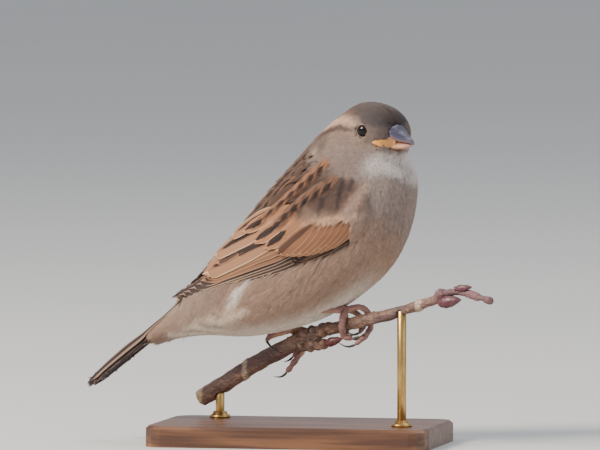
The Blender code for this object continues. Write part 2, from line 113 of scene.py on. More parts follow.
class Form(Enum):
    """The outlines that a feather's vane can have, in the order the forms are kept."""

    COVERT = 0
    REMEX = 1
    TERTIAL = 2
    RECTRIX = 3
    STREAK = 4


def linear(red: float, green: float, blue: float) -> Colour:
    """A display colour of 0 to 255 as the linear colour that shaders use."""
    shares = (red / 255, green / 255, blue / 255)
    return tuple(c / 12.92 if c <= 0.04045 else ((c + 0.055) / 1.055) ** 2.4 for c in shares)


def rgba(colour: Colour) -> tuple[float, float, float, float]:
    """The colour with full alpha."""
    return (*colour, 1.0)


def ease(low: float, high: float, value: Array) -> Array:
    """Goes smoothly from 0 at low to 1 at high."""
    t = np.clip((value - low) / (high - low), 0.0, 1.0)
    return t * t * (3.0 - 2.0 * t)


def eased(low: float, high: float, value: float) -> float:
    """The same as ease, for a single number."""
    return float(ease(low, high, np.array([value]))[0])


def blend(first: Array, second: Array | Colour, share: Array) -> Array:
    """Mixes a list of colours with a colour, or with another list, by a share for each point."""
    return first + (np.array(second) - first) * share[:, None]


def painted(base: Colour, count: int, layers: list[tuple[Colour, Array]]) -> Array:
    """A colour for each of so many points: a base with layers over it, each by its share.

    Args:
        base: the colour under every layer.
        count: how many points there are.
        layers: a colour and its share at each point, lowest first.

    Returns:
        One colour per point.
    """
    result = np.tile(np.array(base), (count, 1))
    for colour, share in layers:
        result = blend(result, colour, share)
    return result


def unit(vectors: Array) -> Array:
    """The vectors at length one."""
    length = np.linalg.norm(vectors, axis=-1, keepdims=True)
    return vectors / np.maximum(length, 1e-12)


def ripple(points: Array, scale: float, seed: int) -> Array:
    """Smooth noise from -1 to 1 made of crossing waves.

    Args:
        points: places in millimetres, one per row.
        scale: rough size of a patch in millimetres.
        seed: picks the waves.

    Returns:
        One value per point.
    """
    rng = np.random.default_rng(seed)
    total = np.zeros(len(points))
    for _ in range(7):
        way = unit(rng.normal(size=3)) * rng.uniform(0.6, 1.6) * 2 * math.pi / scale
        total += np.sin(points @ way + rng.uniform(0, 2 * math.pi))
    return total / 4.0


def head_pose() -> Array:
    """The rotation that turns, nods and tilts the head."""
    return np.array(Euler([math.radians(a) for a in HEAD_ANGLES], "XYZ").to_matrix())


def from_head(point: tuple[float, float, float]) -> Array:
    """A place in the head's own frame as a place on the bird, in millimetres."""
    return np.array(HEAD_CENTRE) + head_pose() @ np.array(point, float)


def eye_axis(side: Side) -> tuple[Array, Array]:
    """An eye's centre in millimetres and the direction it looks in."""
    mirror = np.array((1.0, side.value, 1.0))
    return from_head(np.array(EYE_PLACE) * mirror), head_pose() @ unit(np.array(EYE_FACES) * mirror)


def to_head(points: Array) -> Array:
    """Places on the bird, in millimetres, in the head's own frame."""
    return (points - np.array(HEAD_CENTRE)) @ head_pose()


class Graph:
    """Adds nodes to a tree, with their settings, values and links."""

    def __init__(self, tree: bpy.types.NodeTree) -> None:
        """Takes the tree to add to."""
        self.tree = tree

    def add(self, kind: str, inputs: dict | None = None, **settings: object) -> bpy.types.Node:
        """Adds one node.

        Args:
            kind: the node's type.
            inputs: value or socket for each input's name or number.
            settings: the node's own settings.

        Returns:
            The node.
        """
        node = self.tree.nodes.new(kind)
        for name, value in settings.items():
            setattr(node, name, value)
        for name, value in (inputs or {}).items():
            if isinstance(value, bpy.types.NodeSocket):
                self.tree.links.new(value, node.inputs[name])
            else:
                node.inputs[name].default_value = value
        return node

    def math(self, operation: str, *values: object) -> Socket:
        """A Math node of the values."""
        return self.add("ShaderNodeMath", dict(enumerate(values)), operation=operation).outputs[0]

    def times(self, first: object, second: object) -> Socket:
        """One value times another."""
        return self.math("MULTIPLY", first, second)

    def plus(self, first: object, second: object) -> Socket:
        """One value plus another."""
        return self.math("ADD", first, second)

    def less(self, first: object, second: object) -> Socket:
        """One value less another."""
        return self.math("SUBTRACT", first, second)

    def parts(self, vector: object) -> list[Socket]:
        """The three parts of a vector."""
        return list(self.add("ShaderNodeSeparateXYZ", {0: vector}).outputs)

    def vector(self, operation: str, *values: object) -> bpy.types.Node:
        """A Vector Math node of the values."""
        return self.add("ShaderNodeVectorMath", dict(enumerate(values)), operation=operation)

    def scaled(self, vector: object, by: object) -> Socket:
        """The vector times a number."""
        return self.add("ShaderNodeVectorMath", {0: vector, 3: by}, operation="SCALE").outputs[0]

    def mix(self, share: object, first: object, second: object, how: str = "MIX") -> Socket:
        """A mix of two colours."""
        inputs = {0: share, 6: first, 7: second}
        return self.add("ShaderNodeMix", inputs, data_type="RGBA", blend_type=how).outputs[2]

    def step(self, value: object, low: object, high: object) -> Socket:
        """Goes smoothly from 0 at low to 1 at high."""
        inputs = {0: value, 1: low, 2: high}
        return self.add("ShaderNodeMapRange", inputs, interpolation_type="SMOOTHSTEP").outputs[0]

    def noise(self, vector: object, scale: object, detail: float = 3.0) -> Socket:
        """A noise value, with its vector linked."""
        return self.add("ShaderNodeTexNoise", {"Vector": vector, "Scale": scale, "Detail": detail}).outputs[0]

    def give(self, node: bpy.types.Node, values: dict[str, Socket]) -> bpy.types.NodeTree:
        """Links values into the tree's output node, and gives the tree.

        Args:
            node: the tree's output node.
            values: a socket for each output's name.

        Returns:
            The tree.
        """
        for name, value in values.items():
            self.tree.links.new(value, node.inputs[name])
        return self.tree


def new_tree(
    name: str, kind: str, inputs: dict[str, str], outputs: dict[str, str]
) -> tuple[Graph, object, object]:
    """Makes an empty tree with its sockets.

    Args:
        name: the tree's name.
        kind: Shader or Geometry.
        inputs: socket type for each input's name.
        outputs: socket type for each output's name.

    Returns:
        The graph, what its input node puts out, and its output node.
    """
    tree = bpy.data.node_groups.new(name, kind + "NodeTree")
    for way, sockets in (("INPUT", inputs), ("OUTPUT", outputs)):
        for label, sort in sockets.items():
            tree.interface.new_socket(label, in_out=way, socket_type="NodeSocket" + sort)
    graph = Graph(tree)
    return graph, graph.add("NodeGroupInput").outputs, graph.add("NodeGroupOutput")


class ShaderGroups:
    """The effects that more than one material uses, each a node group that is built once."""

    def __init__(self) -> None:
        """Builds every group."""
        self.mottle = self._mottle()
        self.barbs = self._barbs()
        self.marks = self._marks()
        self.wrinkles = self._wrinkles()

    @staticmethod
    def _mottle() -> bpy.types.NodeTree:
        """Uneven colour in two sizes of patch, with a fine height to match.

        Returns:
            The group's tree.
        """
        inputs = {"Vector": "Vector", "Colour": "Color", "Other": "Color"}
        inputs |= {"Scale": "Float", "Amount": "Float"}
        graph, taken, given = new_tree("mottle", "Shader", inputs, {"Colour": "Color", "Height": "Float"})
        broad = graph.noise(taken["Vector"], taken["Scale"], 4.0)
        fine = graph.noise(taken["Vector"], graph.times(taken["Scale"], 6.0))
        both = graph.plus(graph.times(broad, 0.65), graph.times(fine, 0.35))
        share = graph.times(graph.step(both, 0.36, 0.64), taken["Amount"])
        colour = graph.mix(share, taken["Colour"], taken["Other"])
        return graph.give(given, {"Colour": colour, "Height": both})

    @staticmethod
    def _barbs() -> bpy.types.NodeTree:
        """The fine slanted lines of a feather's barbs on both sides of its shaft.

        The colour is darkened by painted shade in the grooves between barbs, and varied by uneven clumps.

        Returns:
            The group's tree.
        """
        inputs = {"Vane": "Vector", "Colour": "Color", "Count": "Float", "Depth": "Float"}
        graph, taken, given = new_tree("barbs", "Shader", inputs, {"Colour": "Color", "Height": "Float"})
        along, across, _ = graph.parts(taken["Vane"])
        slanted = graph.less(along, graph.times(graph.math("ABSOLUTE", across), BARB_SLANT))
        uneven = graph.noise(graph.scaled(taken["Vane"], 5.0), 1.0, 2.0)
        place = graph.plus(slanted, graph.times(uneven, 0.03))
        wave = graph.math("SINE", graph.times(place, taken["Count"]))
        height = graph.math("MULTIPLY_ADD", wave, 0.5, 0.5)
        clump = graph.noise(graph.scaled(taken["Vane"], 14.0), 1.0)
        shade = graph.plus(graph.times(height, 0.6), graph.times(clump, 0.8))
        # Painted shade: the colour darkens where the barbs' height is low, in the grooves between them.
        level = graph.plus(1.0, graph.times(graph.less(shade, 0.7), taken["Depth"]))
        grey = graph.add("ShaderNodeCombineXYZ", {0: level, 1: level, 2: level}).outputs[0]
        colour = graph.mix(1.0, taken["Colour"], grey, "MULTIPLY")
        return graph.give(given, {"Colour": colour, "Height": shade})

    @staticmethod
    def _marks() -> bpy.types.NodeTree:
        """A vane's dark middle, its pale edges and tip, and its shaft.

        Marks holds the middle's half-width, how far it is off the shaft, and the tip's share of the length.
        Fade holds where along the vane the middle starts and ends, and how soft its rim is.

        Returns:
            The group's tree.
        """
        inputs = dict.fromkeys(("Vane", "Marks", "Fade"), "Vector")
        inputs |= dict.fromkeys(("Middle", "Edge", "Tip"), "Color")
        graph, taken, given = new_tree("vane_marks", "Shader", inputs, {"Colour": "Color", "Shaft": "Float"})
        along, across, chance = graph.parts(taken["Vane"])
        half, offset, tip_share = graph.parts(taken["Marks"])
        start, end, soft = graph.parts(taken["Fade"])
        wide = graph.math("ABSOLUTE", across)
        slanted = graph.less(along, graph.times(wide, BARB_SLANT))
        lines = {0: graph.times(slanted, 26.0), 1: graph.times(across, 1.5), 2: graph.times(chance, 30.0)}
        ragged = graph.less(graph.noise(graph.add("ShaderNodeCombineXYZ", lines).outputs[0], 1.0, 2.0), 0.5)
        place = graph.math("MULTIPLY_ADD", ragged, 0.12, along)
        begun = graph.step(place, start, graph.plus(start, 0.25))
        over = graph.step(graph.math("MULTIPLY_ADD", wide, 0.12, place), graph.less(end, 0.16), end)
        width = graph.times(half, graph.times(begun, graph.less(1.0, over)))
        off = graph.math("ABSOLUTE", graph.less(across, offset))
        rough = graph.times(ragged, graph.times(soft, 1.8))
        dark = graph.step(graph.plus(rough, graph.less(width, off)), 0.0, graph.times(soft, 2.0))
        limit, edge = graph.less(1.0, tip_share), graph.times(tip_share, 0.3)
        reach = graph.math("MULTIPLY_ADD", graph.times(graph.plus(ragged, wide), 0.8), tip_share, along)
        tip = graph.step(reach, graph.less(limit, edge), graph.plus(limit, edge))
        colour = graph.mix(dark, taken["Edge"], taken["Middle"])
        rim = graph.times(graph.step(wide, 0.84, 0.97), 0.75)
        colour = graph.mix(graph.math("MAXIMUM", tip, rim), colour, taken["Tip"])
        shaft = graph.less(1.0, graph.step(wide, 0.02, 0.07))
        colour = graph.mix(graph.times(shaft, 0.35), colour, (0.02, 0.013, 0.01, 1.0))
        return graph.give(given, {"Colour": colour, "Shaft": shaft})

    @staticmethod
    def _wrinkles() -> bpy.types.NodeTree:
        """Fine cracks between raised cells, as on bark, horn and scaled skin.

        Returns:
            The group's tree.
        """
        inputs, outputs = {"Vector": "Vector", "Scale": "Float"}, {"Height": "Float", "Crack": "Float"}
        graph, taken, given = new_tree("wrinkles", "Shader", inputs, outputs)
        bent = graph.noise(taken["Vector"], graph.times(taken["Scale"], 0.5), 2.0)
        moved = graph.vector("ADD", taken["Vector"], graph.scaled((0.001, 0.001, 0.001), bent)).outputs[0]
        inputs = {"Vector": moved, "Scale": taken["Scale"]}
        cells = graph.add("ShaderNodeTexVoronoi", inputs, feature="DISTANCE_TO_EDGE").outputs[0]
        crack = graph.less(1.0, graph.step(cells, 0.0, 0.12))
        return graph.give(given, {"Height": graph.less(1.0, crack), "Crack": crack})


class Finish:
    """What every finish shares: a material with its Principled shader and the nodes that feed it."""

    def __init__(self, name: str, roughness: float, specular: float, **values: object) -> None:
        """Makes the material.

        Args:
            name: the material's name.
            roughness: how dull the surface is.
            specular: how strongly it reflects.
            values: the shader's other values, by input name with _ for each space.
        """
        self.material = bpy.data.materials.new(name)
        self.material.use_nodes = True
        self.graph = Graph(self.material.node_tree)
        self.shader = self.material.node_tree.nodes["Principled BSDF"]
        self.shader.inputs["Roughness"].default_value = roughness
        self.shader.inputs["Specular IOR Level"].default_value = specular
        for label, value in values.items():
            self.shader.inputs[label.replace("_", " ")].default_value = value

    def feed(self, name: str, source: Socket) -> None:
        """Links a socket into the shader."""
        self.graph.tree.links.new(source, self.shader.inputs[name])

    def place(self, stretch: tuple[float, float, float] = (1.0, 1.0, 1.0)) -> Socket:
        """Object coordinates, stretched along the axes."""
        source = self.graph.add("ShaderNodeTexCoord").outputs["Object"]
        return self.graph.vector("MULTIPLY", source, stretch).outputs[0]

    def attribute(self, name: str, output: str = "Color") -> Socket:
        """A socket that reads one of the mesh's attributes."""
        return self.graph.add("ShaderNodeAttribute", attribute_name=name).outputs[output]

    def group(self, tree: bpy.types.NodeTree, inputs: dict) -> bpy.types.bpy_prop_collection:
        """Places a shared group with its own values, and gives what it puts out."""
        return self.graph.add("ShaderNodeGroup", inputs, node_tree=tree).outputs

    def mottled(self, groups: ShaderGroups, *values: object) -> bpy.types.bpy_prop_collection:
        """Places the mottle group with its vector, two colours, scale and amount."""
        return self.group(groups.mottle, dict(zip(("Vector", "Colour", "Other", "Scale", "Amount"), values)))

    def done(self, colour: Socket, height: Socket, distance: float, strength: float) -> bpy.types.Material:
        """Feeds the shader its colour, and its normal from a height.

        Args:
            colour: the surface's colour.
            height: from 0 to 1 or so.
            distance: how high 1 stands, in metres.
            strength: how much of that is shown.

        Returns:
            The material.
        """
        self.feed("Base Color", colour)
        inputs = {"Height": height, "Distance": distance, "Strength": strength}
        self.feed("Normal", self.graph.add("ShaderNodeBump", inputs).outputs[0])
        return self.material


@dataclass(frozen=True)
class DownFinish:
    """Soft body feathers, coloured by the tint that each tuft carries."""

    name: str
    roughness: float = 0.75
    sheen: float = 0.25

    def build(self, groups: ShaderGroups) -> bpy.types.Material:
        """Makes the material.

        Args:
            groups: the shared shader groups.

        Returns:
            The material.
        """
        finish = Finish(self.name, self.roughness, 0.25, Sheen_Weight=self.sheen, Sheen_Roughness=0.6)
        colours = finish.attribute("tint"), finish.attribute("shade")
        streaks = finish.mottled(groups, finish.place(), *colours, 900.0, 0.5)
        return finish.done(streaks["Colour"], streaks["Height"], 0.0001, 0.4)


@dataclass(frozen=True)
class VaneFinish:
    """Flight feathers and coverts, with the marks and barbs that each vane carries."""

    name: str
    roughness: float = 0.55
    barbs: float = 260.0
    # How deep the painted shade in the grooves between barbs is.
    depth: float = 0.28

    def build(self, groups: ShaderGroups) -> bpy.types.Material:
        """Makes the material.

        Args:
            groups: the shared shader groups.

        Returns:
            The material.
        """
        finish = Finish(self.name, self.roughness, 0.2)
        inputs = {name.title(): finish.attribute(name, "Vector") for name in ("vane", "marks", "fade")}
        inputs |= {name.title(): finish.attribute(name) for name in ("middle", "edge", "tip")}
        marks = finish.group(groups.marks, inputs)
        inputs = {"Vane": inputs["Vane"], "Colour": marks["Colour"], "Count": self.barbs, "Depth": self.depth}
        barbs = finish.group(groups.barbs, inputs)
        height = finish.graph.plus(barbs["Height"], marks["Shaft"])
        return finish.done(barbs["Colour"], height, 0.00012, 0.6)


@dataclass(frozen=True)
class HornFinish:
    """Bill and claws: smooth horn in a tint that the mesh carries, with faint growth lines."""

    name: str
    roughness: float
    other: Colour
    coat: float = 0.0
    amount: float = 0.35

    def build(self, groups: ShaderGroups) -> bpy.types.Material:
        """Makes the material.

        Args:
            groups: the shared shader groups.

        Returns:
            The material.
        """
        depth = {"Subsurface_Weight": 0.08, "Subsurface_Scale": 0.5}
        depth["Subsurface_Radius"] = (0.0009, 0.0005, 0.0003)
        finish = Finish(self.name, self.roughness, 0.5, Coat_Weight=self.coat, Coat_Roughness=0.15, **depth)
        colours = finish.attribute("tint"), rgba(self.other)
        lines = finish.mottled(groups, finish.place((0.5, 1.0, 1.6)), *colours, 700.0, self.amount)
        return finish.done(lines["Colour"], lines["Height"], 0.00006, 0.4)


@dataclass(frozen=True)
class ScaleFinish:
    """Scaled skin of legs and toes, and bark, both with cracks between raised cells."""

    name: str
    roughness: float
    other: Colour
    crack: Colour
    cell: float
    patch: float
    relief: float
    stretch: tuple[float, float, float] = (1.0, 1.0, 1.0)
    amount: float = 0.5
    coat: float = 0.0

    def build(self, groups: ShaderGroups) -> bpy.types.Material:
        """Makes the material.

        Args:
            groups: the shared shader groups.

        Returns:
            The material.
        """
        finish = Finish(self.name, self.roughness, 0.4, Coat_Weight=self.coat, Coat_Roughness=0.3)
        place = finish.place(self.stretch)
        colours = finish.attribute("tint"), rgba(self.other)
        patches = finish.mottled(groups, place, *colours, self.patch, self.amount)
        cells = finish.group(groups.wrinkles, {"Vector": place, "Scale": self.cell})
        share = finish.graph.times(cells["Crack"], 0.55)
        colour = finish.graph.mix(share, patches["Colour"], rgba(self.crack))
        return finish.done(colour, finish.graph.plus(cells["Height"], patches["Height"]), self.relief, 0.7)


@dataclass(frozen=True)
class WoodFinish:
    """Waxed hardwood with long grain and pores."""

    name: str
    light: Colour
    dark: Colour

    def build(self, groups: ShaderGroups) -> bpy.types.Material:
        """Makes the material.

        Args:
            groups: the shared shader groups.

        Returns:
            The material.
        """
        finish = Finish(self.name, 0.42, 0.45, Coat_Weight=0.25, Coat_Roughness=0.3)
        graph, place = finish.graph, finish.place((0.06, 1.0, 1.0))
        bent = graph.noise(place, 60.0)
        rings = graph.vector("ADD", place, graph.scaled((0.0, 0.012, 0.012), bent)).outputs[0]
        bands = graph.noise(rings, 330.0, 6.0)
        pores = graph.noise(finish.place((0.05, 2.2, 2.2)), 1500.0, 2.0)
        colour = graph.mix(graph.step(bands, 0.36, 0.62), rgba(self.light), rgba(self.dark))
        fine = finish.mottled(groups, place, colour, rgba(self.dark), 90.0, 0.35)
        finish.feed("Roughness", graph.math("MULTIPLY_ADD", pores, 0.25, 0.3))
        return finish.done(fine["Colour"], graph.plus(pores, bands), 0.00012, 0.5)


@dataclass(frozen=True)
class BrassFinish:
    """Satin brass, slightly tarnished."""

    name: str
    colour: Colour
    tarnish: Colour

    def build(self, groups: ShaderGroups) -> bpy.types.Material:
        """Makes the material.

        Args:
            groups: the shared shader groups.

        Returns:
            The material.
        """
        finish = Finish(self.name, 0.3, 0.5, Metallic=1.0)
        place = finish.place((1.0, 1.0, 0.3))
        patches = finish.mottled(groups, place, rgba(self.colour), rgba(self.tarnish), 420.0, 0.6)
        finish.feed("Roughness", finish.graph.math("MULTIPLY_ADD", patches["Height"], 0.35, 0.14))
        return finish.done(patches["Colour"], patches["Height"], 0.00002, 0.4)


@dataclass(frozen=True)
class EyeFinish:
    """A dark brown iris round a black pupil, under a wet clear front."""

    name: str
    iris: Colour
    rim: Colour

    def build(self, groups: ShaderGroups) -> bpy.types.Material:
        """Makes the material.

        Args:
            groups: the shared shader groups.

        Returns:
            The material.
        """
        finish = Finish(self.name, 0.2, 0.12, Coat_Weight=0.35, Coat_Roughness=0.03)
        out = finish.attribute("out", "Fac")
        colours = rgba(self.iris), rgba(tuple(c * 0.35 for c in self.iris))
        flecks = finish.mottled(groups, finish.place(), *colours, 2600.0, 0.8)
        pupil, edge = finish.graph.step(out, 0.30, 0.33), finish.graph.step(out, 0.46, 0.51)
        colour = finish.graph.mix(pupil, (0.002, 0.002, 0.002, 1.0), flecks["Colour"])
        finish.feed("Base Color", finish.graph.mix(edge, colour, rgba(self.rim)))
        return finish.material


def linked(name: str, data: bpy.types.ID | None) -> bpy.types.Object:
    """A new object that holds the data, linked to the scene.

    Args:
        name: the object's name.
        data: what it holds.

    Returns:
        The object.
    """
    obj = bpy.data.objects.new(name, data)
    bpy.context.scene.collection.objects.link(obj)
    return obj


def make_object(name: str, points: Array, faces: list) -> bpy.types.Object:
    """Makes a mesh object with its place in its mesh.

    Args:
        name: the object's name.
        points: places in metres, one per row.
        faces: vertex numbers of each face.

    Returns:
        The object, linked to the scene.
    """
    mesh = bpy.data.meshes.new(name)
    mesh.from_pydata(np.asarray(points).tolist(), [], [list(f) for f in faces])
    mesh.update()
    return linked(name, mesh)


def closed(obj: bpy.types.Object) -> bpy.types.Object:
    """Turns the object's faces outward and shades it smoothly.

    Args:
        obj: a mesh object with no open edge.

    Returns:
        The same object.
    """
    shape = bmesh.new()
    shape.from_mesh(obj.data)
    bmesh.ops.recalc_face_normals(shape, faces=shape.faces)
    shape.to_mesh(obj.data)
    shape.free()
    obj.data.shade_smooth()
    return obj


def drop(obj: bpy.types.Object) -> None:
    """Removes a helper object."""
    bpy.data.objects.remove(obj, do_unlink=True)


def places(mesh: bpy.types.Mesh) -> Array:
    """The mesh's vertices, one per row.

    Args:
        mesh: the mesh.

    Returns:
        Places in metres.
    """
    flat = np.empty(len(mesh.vertices) * 3)
    mesh.vertices.foreach_get("co", flat)
    return flat.reshape(-1, 3)


def outward(mesh: bpy.types.Mesh) -> Array:
    """The mesh's vertex normals, one per row.

    Args:
        mesh: the mesh.

    Returns:
        Directions of length one.
    """
    flat = np.empty(len(mesh.vertices) * 3)
    mesh.vertex_normals.foreach_get("vector", flat)
    return flat.reshape(-1, 3)


def move_to(mesh: bpy.types.Mesh, points: Array) -> None:
    """Puts the mesh's vertices at new places."""
    mesh.vertices.foreach_set("co", np.asarray(points, float).ravel())
    mesh.update()


def carry(mesh: bpy.types.Mesh, name: str, values: Array, kind: str = "FLOAT_VECTOR") -> None:
    """Stores one value per vertex as an attribute.

    Args:
        mesh: the mesh.
        name: the attribute's name.
        values: one value, vector or colour per vertex.
        kind: FLOAT, INT, FLOAT_VECTOR or FLOAT_COLOR.
    """
    if name in mesh.attributes:
        mesh.attributes.remove(mesh.attributes[name])
    attribute = mesh.attributes.new(name, kind, "POINT")
    if kind == "FLOAT_COLOR":
        values = np.column_stack([values, np.ones(len(values))])
    word = {"FLOAT": "value", "INT": "value", "FLOAT_VECTOR": "vector", "FLOAT_COLOR": "color"}[kind]
    attribute.data.foreach_set(word, np.asarray(values).ravel())


def carried(mesh: bpy.types.Mesh, name: str, width: int = 3) -> Array:
    """Reads an attribute back, one row per vertex.

    Args:
        mesh: the mesh.
        name: the attribute's name.
        width: how many numbers each vertex has, 1 or 3.

    Returns:
        The values.
    """
    word = {1: "value", 3: "vector"}[width]
    flat = np.empty(len(mesh.vertices) * width)
    mesh.attributes[name].data.foreach_get(word, flat)
    return flat.reshape(-1, width) if width > 1 else flat


def strip(mesh: bpy.types.Mesh, names: tuple[str, ...]) -> None:
    """Removes attributes that are no longer needed.

    Args:
        mesh: the mesh.
        names: the attributes' names.
    """
    for name in names:
        if name in mesh.attributes:
            mesh.attributes.remove(mesh.attributes[name])


def dye(obj: bpy.types.Object, tint: Array, finish: bpy.types.Material) -> None:
    """Gives an object a colour for each vertex, and its finish."""
    carry(obj.data, "tint", tint, "FLOAT_COLOR")
    obj.data.materials.append(finish)


def merged_copy(node: str, grow: float = 0.0) -> bpy.types.Object:
    """A copy of a node's mesh with its loose triangles merged.

    Args:
        node: the node's name.
        grow: how far the copy swells, in metres.

    Returns:
        A new object.
    """
    mesh = frame["nodes"][node].data.copy()
    shape = bmesh.new()
    shape.from_mesh(mesh)
    bmesh.ops.remove_doubles(shape, verts=shape.verts, dist=2e-6)
    shape.normal_update()
    for vertex in shape.verts:
        vertex.co += vertex.normal * grow
    shape.to_mesh(mesh)
    shape.free()
    mesh.materials.clear()
    return linked("copy_" + node, mesh)


def joined(objects: list[bpy.types.Object], name: str) -> bpy.types.Object:
    """One object that holds the meshes of several, which are removed.

    Args:
        objects: the mesh objects.
        name: the new object's name.

    Returns:
        The new object.
    """
    shape = bmesh.new()
    for obj in objects:
        shape.from_mesh(obj.data)
        drop(obj)
    mesh = bpy.data.meshes.new(name)
    shape.to_mesh(mesh)
    shape.free()
    return linked(name, mesh)


def settled(obj: bpy.types.Object) -> bpy.types.Object:
    """Applies the object's modifiers, leaving a plain mesh.

    Args:
        obj: a mesh object.

    Returns:
        The same object.
    """
    graph = bpy.context.evaluated_depsgraph_get()
    mesh = bpy.data.meshes.new_from_object(obj.evaluated_get(graph))
    obj.modifiers.clear()
    obj.data = mesh
    return obj


def remeshed(obj: bpy.types.Object, voxel: float) -> bpy.types.Object:
    """Rebuilds the object's mesh from even small faces.

    Args:
        obj: a closed mesh object.
        voxel: the size of the faces, in metres.

    Returns:
        The same object.
    """
    modifier = obj.modifiers.new("even", "REMESH")
    modifier.mode = "VOXEL"
    modifier.voxel_size = voxel
    modifier.use_smooth_shade = True
    return settled(obj)


class Net:
    """The vertices of a mesh with the neighbours of each."""

    def __init__(self, mesh: bpy.types.Mesh) -> None:
        """Reads the mesh.

        Args:
            mesh: a closed mesh.
        """
        edges = np.empty(len(mesh.edges) * 2, int)
        mesh.edges.foreach_get("vertices", edges)
        edges = edges.reshape(-1, 2)
        corners = [f.vertices[:] for f in mesh.polygons if len(f.vertices) == 4]
        if corners:
            quads = np.array(corners)
            edges = np.concatenate([edges, quads[:, [0, 2]], quads[:, [1, 3]]])
        self.size = len(mesh.vertices)
        self.start = np.concatenate([edges[:, 0], edges[:, 1]])
        self.end = np.concatenate([edges[:, 1], edges[:, 0]])
        self.degree = np.maximum(np.bincount(self.start, minlength=self.size), 1)

    def around(self, values: Array) -> Array:
        """The mean of the neighbours' values at each vertex.

        Args:
            values: a number or a row of numbers per vertex.

        Returns:
            The means, in the same shape.
        """
        columns = values.reshape(self.size, -1)
        sums = [np.bincount(self.start, weights=c[self.end], minlength=self.size) for c in columns.T]
        return (np.stack(sums, axis=1) / self.degree[:, None]).reshape(values.shape)

    def smoothed(self, values: Array, passes: int, share: float = 0.5) -> Array:
        """The values eased towards their neighbours', several times.

        Args:
            values: a number or a row of numbers per vertex.
            passes: how many times.
            share: how far each time goes.

        Returns:
            The eased values.
        """
        for _ in range(passes):
            values = values + share * (self.around(values) - values)
        return values

    def walked(self, points: Array, first: Array) -> Array:
        """How far each vertex is from the nearest of some first ones, along the mesh.

        Args:
            points: the vertices' places.
            first: numbers of the vertices that are at distance zero.

        Returns:
            One distance per vertex.
        """
        lengths = np.linalg.norm(points[self.start] - points[self.end], axis=1)
        order = np.argsort(self.start, kind="stable")
        ends, lengths = self.end[order].tolist(), lengths[order].tolist()
        bounds = np.concatenate([[0], np.cumsum(np.bincount(self.start, minlength=self.size))]).tolist()
        far = [math.inf] * self.size
        queue = [(0.0, int(i)) for i in first]
        for _, i in queue:
            far[i] = 0.0
        heapq.heapify(queue)
        while queue:
            distance, i = heapq.heappop(queue)
            if distance > far[i]:
                continue
            for k in range(bounds[i], bounds[i + 1]):
                reach = distance + lengths[k]
                if reach < far[ends[k]]:
                    far[ends[k]] = reach
                    heapq.heappush(queue, (reach, ends[k]))
        result = np.array(far)
        result[~np.isfinite(result)] = result[np.isfinite(result)].max()
        return result

    def slope(self, points: Array, values: Array) -> Array:
        """The direction in which the values grow fastest, at each vertex.

        Args:
            points: the vertices' places.
            values: one number per vertex.

        Returns:
            One direction per vertex.
        """
        way = points[self.end] - points[self.start]
        rise = (values[self.end] - values[self.start]) / np.maximum((way * way).sum(axis=1), 1e-12)
        total = [np.bincount(self.start, weights=way[:, i] * rise, minlength=self.size) for i in range(3)]
        return np.stack(total, axis=1) / self.degree[:, None]


def tree_of(obj: bpy.types.Object) -> BVHTree:
    """A search tree over the object's faces."""
    mesh = obj.data
    return BVHTree.FromPolygons([v.co for v in mesh.vertices], [p.vertices[:] for p in mesh.polygons])


def rounded(node: str, name: str, voxel: float, passes: int) -> tuple[bpy.types.Object, Net, Array]:
    """A node's copy made of even small faces and smoothed.

    Args:
        node: the node's name.
        name: the copy's name.
        voxel: the size of its faces, in metres.
        passes: how often it is smoothed.

    Returns:
        The new object, its net and the places of its vertices.
    """
    obj = remeshed(merged_copy(node), voxel)
    obj.name = obj.data.name = name
    net = Net(obj.data)
    points = net.smoothed(places(obj.data), passes)
    move_to(obj.data, points)
    return obj, net, points


PALE_BUFF = linear(202, 154, 116)
DARK = linear(48, 35, 32)


@dataclass(frozen=True)
class Band:
    """A soft-edged stripe along a line of places, each with its half-width, in millimetres."""

    line: tuple[tuple[float, ...], ...]
    soft: float = 1.0

    def mask(self, points: Array) -> Array:
        """How much of the stripe is at each point, from 0 to 1.

        Args:
            points: places in the same plane as the line.

        Returns:
            One share per point.
        """
        best = np.full(len(points), -1e9)
        rows = np.array(self.line, float)
        for a, b in zip(rows[:-1], rows[1:]):
            way = b[:-1] - a[:-1]
            t = np.clip(((points - a[:-1]) @ way) / (way @ way), 0, 1)
            off = np.linalg.norm(points - (a[:-1] + t[:, None] * way), axis=1)
            best = np.maximum(best, a[-1] + (b[-1] - a[-1]) * t - off)
        return ease(-self.soft, self.soft, best)


HEAD_BANDS = (
    Band(((-2.0, 7.4, 0.5), (-8.0, 7.5, 1.0), (-14.0, 4.2, 1.2)), 1.2),
    Band(((0.6, 4.3, 0.5), (-2.8, 5.0, 1.0), (-7.2, 5.2, 1.2), (-12.0, 2.9, 1.5), (-17.0, 0.2, 1.2)), 0.7),
    Band(
        ((-0.4, 2.3, 0.45), (-5.4, 2.8, 0.8), (-9.9, 1.3, 1.0), (-14.0, -1.0, 1.1), (-17.5, -3.0, 0.8)), 0.6
    ),
    Band(((-11.5, -5.4, 1.4), (-17.5, -6.0, 1.6)), 1.3),
)
TUFT_BANDS = (
    Band(((-13.5, 55.0, 0.8), (-17.0, 51.5, 1.7), (-19.5, 47.5, 1.0)), 1.0),
    Band(((-14.0, 46.0, 1.0), (-19.5, 44.4, 2.0), (-24.0, 42.8, 0.8)), 1.4),
)
WING_BANDS = (
    Band(((8.0, 89.0, 5.0), (14.0, 85.5, 6.5), (21.0, 83.5, 5.5)), 1.8),
    Band(((3.0, 73.6, 1.1), (13.0, 75.8, 1.4), (22.5, 78.2, 1.2)), 0.8),
    Band(((25.8, 87.1, 1.3), (21.2, 79.4, 2.2)), 1.5),
    Band(((18.9, 89.4, 0.9), (17.6, 81.0, 0.4)), 0.6),
    Band(((22.0, 89.4, 0.7), (21.2, 86.0, 0.3)), 0.6),
    Band(((12.6, 83.0, 0.8), (11.6, 78.4, 0.4)), 0.6),
)


